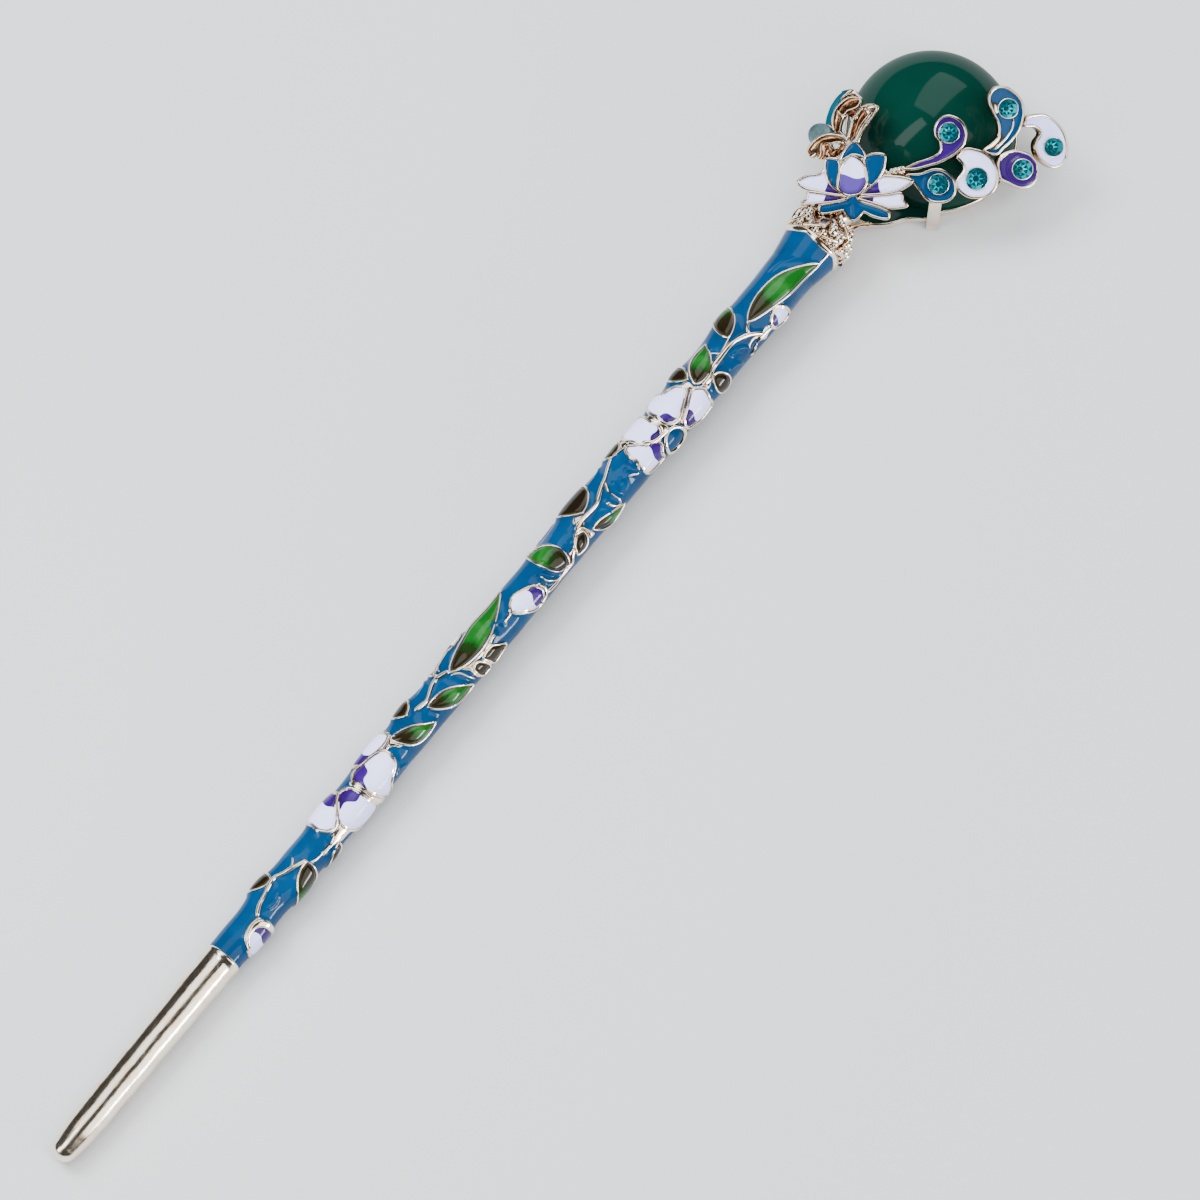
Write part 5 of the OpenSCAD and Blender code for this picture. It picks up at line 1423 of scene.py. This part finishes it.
# Root of the head
class HAIRSTICK_OT_collar(bpy.types.Operator):
    """Makes the collar: a scalloped band with cast granules above it"""
    bl_idname = "hair_stick.collar"
    bl_label = "Collar"

    def execute(self, context):
        def scalloped(r, turn, s):
            low = np.clip((139.4 - s) / 1.0, 0, 1)
            wave = 0.42 * np.abs(np.sin(turn * 2.5 + 0.4)) - 0.2
            return round_stick(r, turn, s - low * wave)

        band = tube(smooth(COLLAR_PROFILE, 5), 120, scalloped)
        along = (points_of(band) / MM - TIP) @ ALONG
        # Painted shade: the band above s 139.5, among the granules, takes the lowest tone, so the gold paints
        # it dark brown between them
        note(band, "tone", np.where(along < 139.5, 1.0, -0.1))
        rng = random.Random(12)
        spots = []
        for row, (s, radius, count, size) in enumerate(COLLAR_ROWS):
            for i in range(count):
                turn = 2 * math.pi * (i + 0.5 * (row % 2) + rng.uniform(-0.28, 0.28)) / count
                long = rng.random() < 0.3
                k = size * rng.uniform(0.72, 1.15)
                out = math.cos(turn) * UP + math.sin(turn) * SIDE
                around = np.cross(ALONG, out)
                lean = rng.uniform(-0.9, 0.9) + (0.5 if long else 0)
                a = ALONG * math.cos(lean) + around * math.sin(lean)
                b = np.cross(out, a)
                place = TIP + ALONG * (s + rng.uniform(-0.2, 0.2)) + out * (radius + rng.uniform(-0.08, 0.14))
                if self.height_over(place[None])[0] > 0.5:
                    continue
                spots.append((place * MM, (k * (1.7 if long else 1.0) * MM, k * (0.7 if long else 0.95) * MM,
                                           k * 0.8 * MM), (a, b, out)))
        grains = beads("collar_grains", spots, 12, 8)
        note(grains, "tone", 0.8)
        runs = []
        t = np.linspace(0, 1, 12)
        for i in range(SCROLLS):
            turn = 2 * math.pi * i / SCROLLS + 0.3 + 0.55 * np.sin(t * math.pi * 1.2)
            runs.append((round_stick(3.95 - 0.5 * t ** 2, turn, 139.4 + 3.0 * t), 0.24 - 0.12 * t, False))
        scrolls = wires("collar_scrolls", runs)
        line = np.array(SPUR[0]) * (1 - t[:, None]) + np.array(SPUR[1]) * t[:, None]
        line[:, 1] += 0.2 * np.sin(t * math.pi)
        thick = 0.62 - 0.28 * np.sin(np.linspace(0, math.pi, 12)) - 0.1 * t
        spur = wires("spur", [(np.vstack([face_point(p) for p in line]), thick, False)], 5)
        whole = joined([band, grains, scrolls, spur], "collar_granulated")
        co = points_of(whole) / MM
        set_points(whole, (co - np.clip(self.height_over(co), 0, None)[:, None] * OUT) * MM)
        hand_in(whole, wire_gold(), "gold_metal", "collar", angle=60)
        return {"FINISHED"}

    @staticmethod
    def height_over(co):
        """How far each point stands above the hollow in which the flower lies."""
        x, y, z = ((co - np.array([0, 0, PLATE_T])) @ axis for axis in (RIGHT, AWAY, OUT))
        limit = LOTUS_Z - 0.55 + 3 * np.clip(-9.3 - y, 0, None) + 3 * np.clip(-13.3 - x, 0, None)
        return z - limit


class HAIRSTICK_OT_plate(bpy.types.Operator):
    """Makes the back plate with its lip and the ball's green painted round it as a reflection, the neck and
    the post
    """
    bl_idname = "hair_stick.plate"
    bl_label = "Back plate, neck and post"

    def execute(self, context):
        edge = [(r * math.cos(math.radians(a)), r * math.sin(math.radians(a))) for a, r in PLATE_EDGE]
        edge = loop_of(edge, 0.35, 5)
        sheet = slab([grown(edge, -0.12)], 0.0, PLATE_T - 0.15, on_table, 0.3)
        rim = wires("rim", [wire(on_table, grown(edge, -0.2), 0.19, True, PLATE_T, 5, 0.16)])
        hand_in(joined([sheet, rim], "back_plate_metal"), smooth_gold(), "gold_metal", "back_plate", angle=40)
        # Painted reflection: the plate's top round the ball takes the ball's green, as the ball reflected in
        # the polished plate
        floor = fill(grown(edge, -0.2), 0.25, on_table, dished(PLATE_T + 0.05, 0.08, 0.5),
                     hole=(0, 0, sizes().ball / MM - 0.4))
        floor.name = "back_plate_painted_reflection"
        hand_in(floor, once("green stone", ball_stone), "green_ball", "back_plate", angle=60)

        neck = tube(NECK_PROFILE, 48, round_stick)
        foot = box((1, 1, 1), 0.08, 2)
        set_points(foot, (points_of(foot) * np.array(FOOT[0]) + np.array(FOOT[1])) * MM)
        hand_in(joined([neck, foot], "neck_and_foot"), cast_gold(), "gold_metal", "neck", angle=40)

        mid_x, mid_y, height, width, thick = POST
        post = box((thick, width, height), 0.12, 3)
        co = points_of(post)
        a = math.radians(POST_TURN)
        x = co[:, 0] - thick / 2
        y = co[:, 1]
        set_points(post, np.column_stack([
            mid_x + x * math.cos(a) - y * math.sin(a), mid_y + x * math.sin(a) + y * math.cos(a),
            0.1 + height / 2 + co[:, 2]]) * MM)
        post.name = "post_strip"
        hand_in(post, smooth_gold(), "gold_metal", "post", angle=40)
        return {"FINISHED"}


class HAIRSTICK_OT_ball(bpy.types.Operator):
    """Makes the domed green stone"""
    bl_idname = "hair_stick.ball"
    bl_label = "Domed stone"

    def execute(self, context):
        clear_choice()
        bpy.ops.mesh.primitive_uv_sphere_add(segments=160, ring_count=80, radius=sizes().ball,
                                             location=(0, 0, PLATE_T * MM))
        ball = context.object
        bpy.ops.object.transform_apply(location=True)
        edit_all(ball, lambda: bpy.ops.mesh.bisect(
            plane_co=(0, 0, PLATE_T * MM), plane_no=(0, 0, 1), clear_inner=True, use_fill=True))
        ball.name = "domed_stone"
        hand_in(ball, once("green stone", ball_stone), "green_ball", "ball", angle=50)
        return {"FINISHED"}


# Lotus and plume
def cast_cell(outline, place, lo, hole=None, floor=0.42):
    """The plate under one enamel cell, with rounded edges; its top lies floor below the face."""
    sheets = [outline] if hole is None else [outline, hole]
    return slab(sheets, lo, -floor, place, 0.12)


def circle(x, y, r, n=32):
    """A round outline."""
    a = np.linspace(0, 2 * math.pi, n, endpoint=False)
    return np.column_stack([x + r * np.cos(a), y + r * np.sin(a)])


class HAIRSTICK_OT_lotus(bpy.types.Operator):
    """Makes the cast lotus with its blue, white and violet cells"""
    bl_idname = "hair_stick.lotus"
    bl_label = "Lotus"

    def execute(self, context):
        face = on_face(0, LOTUS_Z)
        thick, step = sizes().casting / MM, sizes().cell_step / MM
        metal, runs = [], []
        cells = [loop_of(c, 0.12) for c in LOTUS_BLUE + [white[2] for white in LOTUS_WHITE]]
        for i, line in enumerate(cells):
            metal.append(cast_cell(grown(line, 0.12), face, -thick + 0.013 * i))
            runs.append(wire(face, line, 0.16, True, -0.15, 200 + i, 0.14))
            runs.append(wire(face, line, 0.13, True, -0.34, 230 + i, 0.05))
        rims = wires("rims", runs)
        x, y, radius, low, high = LOTUS_FOOT
        foot = tube([(radius, low), (radius, high)], 32, upright(face, x, y))
        hand_in(joined(metal + [rims, foot], "lotus_metal"), wire_gold(), "gold_metal", "lotus", angle=50)
        folds = np.vstack([run_of(f, 0.1) for f in LOTUS_FOLDS])

        def folded(xy, d):
            near = np.min(np.linalg.norm(xy[:, None] - folds[None], axis=2), axis=1)
            fold = 0.11 * np.exp(-(near / 0.14) ** 2) * np.clip(d / 0.4, 0, 1)
            return domed(-0.25, 0.15, 0.65)(xy, d) + fold

        blue = [fill(line, step, face, folded) for line in cells[:len(LOTUS_BLUE)]]
        hand_in(joined(blue, "lotus_blue_cells"), blue_enamel(), "blue_enamel", "lotus_blue", angle=70)
        white = []
        for (at, way, _), line in zip(LOTUS_WHITE, cells[len(LOTUS_BLUE):]):
            way = np.array(way) / np.linalg.norm(way)

            def tone(xy):
                gap = xy - np.array(at)
                off = gap @ np.array([-way[1], way[0]])
                return -(gap @ way) - 0.14 * np.minimum(off ** 2, 1.5) + 0.1 * np.sin(off * 2.3)

            cell = fill(line, step, face, folded, tone=tone)
            bud = way[1] < -0.5
            white.append(paint(cell, once("bud enamel", petal_enamel, 0.8) if bud
                               else once("petal enamel", petal_enamel)))
        hand_in(joined(white, "lotus_petal_cells"), None, "white_enamel",
                "lotus_white", "lotus_violet", angle=70)
        return {"FINISHED"}


class HAIRSTICK_OT_plume(bpy.types.Operator):
    """Makes the cast curls of the plume with their enamel, the stem and the bars that join them"""
    bl_idname = "hair_stick.plume"
    bl_label = "Plume"

    def execute(self, context):
        thick, step = sizes().casting / MM, sizes().cell_step / MM
        paints = {"violet": violet_enamel(), "blue": blue_enamel(), "white": white_enamel()}
        slots = {"violet": "violet_enamel", "blue": "blue_enamel", "white": "white_enamel"}
        metal, runs = [], []
        for i, (x0, z0, turn, (sx, sy, sr), colour, run) in enumerate(CURLS):
            place = on_face(x0, z0, turn)
            line = loop_of(run, 0.14)
            bowl = i == BOWL
            metal.append(cast_cell(line, place, -thick + 0.01 * i, circle(sx, sy, sr * 0.97),
                                   0.62 if bowl else 0.42))
            runs.append(wire(place, grown(line, -0.15), 0.17, True, -0.16, 300 + i, 0.14))
            runs.append(wire(place, grown(line, -0.12), 0.14, True, -0.36, 310 + i, 0.05))
            if bowl:
                runs.append(wire(place, grown(line, -0.12), 0.13, True, -0.54, 316, 0.05))
            runs.append(wire(place, circle(sx, sy, sr + 0.02), 0.06, True, -0.13, 320 + i, 0.1))
            lip, base = (0.34, -0.55) if bowl else (0.12, -0.25)
            height = dished(base, lip, 1.0 if bowl else 0.7)
            if i in RIDGED:
                height = rolled(height, sx, sy, 1.72)
            cell = fill(grown(line, -0.1), step, place, height, hole=(sx, sy, sr - 0.05))
            cell.name = "curl_%d_cell" % (i + 1)
            hand_in(cell, paints[colour], slots[colour], "curl_%d_enamel" % (i + 1), angle=70)
        place = on_face(*CURLS[3][:3])
        runs.append(wire(place, run_of(FOURTH_RIDGE, 0.14), (0.12, 0.16), False, -0.14, 340))
        floor = fill(loop_of(FOURTH_FLOOR, 0.15, 5), step, place, dished(-0.16, 0.1, 0.4), bright)
        patch = fill(loop_of(FOURTH_PATCH, 0.1, 5), step, place, domed(-0.2, 0.1, 0.4), bright)
        place = on_face(*CURLS[4][:3])
        runs.append(wire(place, run_of(FIFTH_RIDGE, 0.12), 0.07, False, -0.14, 341))
        rims = wires("rims", runs)
        bars = [block((a, b), wid, tall) for a, b, wid, tall in BARS]
        rng = random.Random(5)
        spots = []
        for i in range(STEM_BEADS):
            t = i / (STEM_BEADS - 1)
            x = STEM_FROM[0] + STEM_WAY[0] * t + rng.uniform(-0.1, 0.1)
            y = STEM_FROM[1] + STEM_WAY[1] * t + rng.uniform(-0.32, 0.36)
            k = rng.uniform(0.16, 0.27) * MM
            z = STEM_FROM[2] + rng.uniform(-0.08, 0.12)
            spots.append((face_point((x, y, z)), (k * 1.2, k, k), (RIGHT, AWAY, OUT)))
        stem = beads("stem", spots, 10, 7)
        note(stem, "tone", 0.8)
        whole = joined(metal + bars + [rims, stem, floor, patch], "plume_metal")
        hand_in(whole, wire_gold(), "gold_metal", "plume", angle=50)
        return {"FINISHED"}


# Cut stones
def hull_of(points, name):
    """The faceted solid round a set of points."""
    clear_choice()
    bpy.ops.mesh.primitive_circle_add(vertices=len(points), radius=1)
    obj = bpy.context.object
    set_points(obj, points)
    edit_all(obj, lambda: bpy.ops.mesh.delete(type="EDGE_FACE"))
    edit_all(obj, lambda: bpy.ops.mesh.convex_hull())
    faces_out(obj)
    obj.name = name
    return obj


def ring(count, radius, h, share=0.0):
    """Points of one ring of a stone's corners, turned by a share of their spacing."""
    a = (np.arange(count) + share) * 2 * math.pi / count
    return np.column_stack([radius * np.cos(a), radius * np.sin(a), np.full(count, h)])


def cut_stone(name, x, y, radius, place, seed, base, up=1.0):
    """A clear stone with a table and star facets, over a foil bowl whose facets each carry a painted
    reflection.
    """
    def put(obj):
        p = points_of(obj)
        set_points(obj, place(np.column_stack([x + p[:, 0], y + p[:, 1]]), base + up * p[:, 2]))
        faces_out(obj)

    r = radius
    glass = hull_of(np.vstack([
        ring(16, r, 0), ring(16, r * 0.985, 0.1), ring(8, r * 0.82, 0.3, 0.5), ring(8, r * 0.56, 0.42),
        ring(8, r * 0.55, -0.4, 0.5), ring(8, r * 0.1, -0.76)]), name)
    put(glass)
    foil = hull_of(np.vstack([
        ring(16, r * 1.02, 0.0), ring(8, r * 0.7, -0.38), ring(8, r * 0.3, -0.68, 0.5)]), name + "_foil")
    mesh = foil.data
    rng = random.Random(seed)
    tones, lids = [], []
    for face in mesh.polygons:
        c = face.center
        far = math.hypot(c[0], c[1]) / r
        lids.append(face.normal[2] > 0.9)
        turn = math.atan2(c[1], c[0])
        # Painted reflections: a star of bright and dark facets, a dark middle, and one side of each stone
        # painted lighter where light would catch it
        star = math.cos(8 * turn)
        painted_side_light = 0.18 * math.cos(turn - seed) + rng.uniform(-0.16, 0.16)
        if far > 0.66:
            tones.append(0.27 - 0.36 * star + painted_side_light)
        elif far > 0.1:
            tones.append(0.34 + 0.3 * star + painted_side_light)
        else:
            tones.append(0.12)
    tones = [min(1.0, max(0.0, t)) for t in tones]
    mesh.attributes.new("tone", "FLOAT", "FACE").data.foreach_set("value", tones)
    drop(foil, lids, "FACE")
    bpy.ops.object.modifier_add(type="SOLIDIFY")
    foil.modifiers[0].thickness = 0.04
    foil.modifiers[0].offset = 1
    bpy.ops.object.modifier_apply(modifier=foil.modifiers[0].name)
    put(foil)
    return glass, foil


def hand_in_stone(glass, foil, node):
    """Finishes a cut stone, whose glass and foil stand for one node."""
    hand_in(glass, once("clear stone", clear_stone), "teal_stone", node, angle=0)
    hand_in(foil, once("stone foil", stone_colour, 0.0, 0.3), "teal_stone", node, angle=0)


class HAIRSTICK_OT_stones(bpy.types.Operator):
    """Makes the cut stones of the curls"""
    bl_idname = "hair_stick.stones"
    bl_label = "Cut stones"

    def execute(self, context):
        for i, (x0, z0, turn, (sx, sy, sr), _, _) in enumerate(CURLS):
            pair = cut_stone("cut_stone_%d" % (i + 1), sx, sy, sr, on_face(x0, z0, turn), 40 + i,
                             base=-0.3 if i == BOWL else -0.16)
            hand_in_stone(*pair, "stone_%d" % (i + 1))
        return {"FINISHED"}


# Wing
class HAIRSTICK_OT_wing(bpy.types.Operator):
    """Makes the cast wing behind the lotus: bare inner side, enamelled outer side and its stone"""
    bl_idname = "hair_stick.wing"
    bl_label = "Wing"

    def execute(self, context):
        place = on_face(*WING_AT)
        step = sizes().cell_step / MM
        slots = [loop_of(c, 0.12, 5) for c in WING_SLOTS]
        leaf = loop_of(WING_EDGE, 0.16, 5)
        curl = loop_of(WING_CURL, 0.16, 5)
        plate = [slab([leaf, slots[0]], -WING_T, -0.3, place, 0.14),
                 slab([curl, slots[1]], -WING_T + 0.01, -0.31, place, 0.14)]
        lens = fill(loop_of(TIP_LENS, 0.12, 5), step, place, domed(-0.26, 0.5, 0.5), bright)
        bare = {True: [], False: [lens]}
        for base, lip, copper, run in WING_FLOORS:
            bare[copper].append(fill(loop_of(run, 0.12, 5), step, place, dished(base, lip, 0.35),
                                     bright, slots=slots))
        runs = [wire(place, run_of(run, 0.1), (a * 0.78, b * 0.78), False, h, 400 + i, 0.12)
                for i, (a, b, h, run) in enumerate(WING_WIRES)]
        runs += [wire(place, grown(s, 0.05), 0.07, True, -0.26, 422 + i, 0.1) for i, s in enumerate(slots)]
        rims = wires("rims", runs)
        a = math.radians(WING_AT[2])
        x_axis = math.cos(a) * RIGHT - math.sin(a) * OUT
        z_axis = math.sin(a) * RIGHT + math.cos(a) * OUT
        spots = {True: [], False: []}
        for x, y, h, long, wide, turn, copper in WING_LUMPS:
            u = math.cos(math.radians(turn)) * x_axis + math.sin(math.radians(turn)) * AWAY
            middle = place(np.array([[x, y]]), np.array([h]))[0]
            half = (long * MM, wide * MM, 0.16 * MM)
            spots[copper].append((middle, half, (u, np.cross(z_axis, u), z_axis)))
        lumps = beads("lumps", spots[False], 14, 10)
        # Tone 0.7 lays a little painted shade over all these lumps
        note(lumps, "tone", 0.7)
        bare[True].append(beads("coppery_lumps", spots[True], 14, 10))
        cx, cy, r = WING_STONE
        cup = tube(WING_CUP, 40, upright(place, cx, cy))
        parts = [paint(o, cast_gold()) for o in plate] + [paint(o, coppery()) for o in bare[True]]
        parts.append(paint(cup, once("foil back", foil_back)))
        parts += [paint(o, wire_gold()) for o in bare[False] + [rims, lumps]]
        hand_in(joined(parts, "wing_metal"), None, "gold_metal", "wing", angle=50)

        teal = [slab([loop_of(CRESCENT, 0.12, 5)], -0.86, -0.2, place, 0.14)]
        teal += [fill(loop_of(cell, 0.12, 5), step, place, domed(-WING_T - 0.02, -0.1, 0.5), flip=True)
                 for cell in WING_CELLS]
        hand_in(joined(teal, "wing_enamel_cells"), teal_enamel(), "teal_enamel", "wing_enamel", angle=50)
        hand_in_stone(*cut_stone("wing_cut_stone", cx, cy, r, place, 60, base=-1.4, up=-0.8), "wing_stone")
        return {"FINISHED"}


# Panel and registration
STEPS = [
    HAIRSTICK_OT_stage, HAIRSTICK_OT_stick_metal, HAIRSTICK_OT_stick_ground, HAIRSTICK_OT_stick_cells,
    HAIRSTICK_OT_collar, HAIRSTICK_OT_plate, HAIRSTICK_OT_ball, HAIRSTICK_OT_lotus, HAIRSTICK_OT_plume,
    HAIRSTICK_OT_stones, HAIRSTICK_OT_wing,
]


class HAIRSTICK_PT_panel(bpy.types.Panel):
    """Buttons and settings of the hair stick"""
    bl_idname = "HAIRSTICK_PT_panel"
    bl_label = "Hair stick"
    bl_space_type = "VIEW_3D"
    bl_region_type = "UI"
    bl_category = "Hair stick"

    def draw(self, context):
        layout = self.layout
        for settings in (context.scene.hair_stick_sizes, context.scene.hair_stick_colours):
            box = layout.box()
            for name in settings.bl_rna.properties.keys():
                if name not in ("rna_type", "name"):
                    box.prop(settings, name)
        for step in STEPS:
            layout.operator(step.bl_idname)


CLASSES = [HairStickSizes, HairStickColours, *STEPS, HAIRSTICK_PT_panel]


def register():
    for cls in CLASSES:
        bpy.utils.register_class(cls)
    bpy.types.Scene.hair_stick_sizes = bpy.props.PointerProperty(type=HairStickSizes)
    bpy.types.Scene.hair_stick_colours = bpy.props.PointerProperty(type=HairStickColours)


def unregister():
    del bpy.types.Scene.hair_stick_colours
    del bpy.types.Scene.hair_stick_sizes
    for cls in reversed(CLASSES):
        bpy.utils.unregister_class(cls)


def main():
    register()
    for step in STEPS:
        group, name = step.bl_idname.split(".")
        getattr(getattr(bpy.ops, group), name)()


if __name__ == "__main__":
    main()
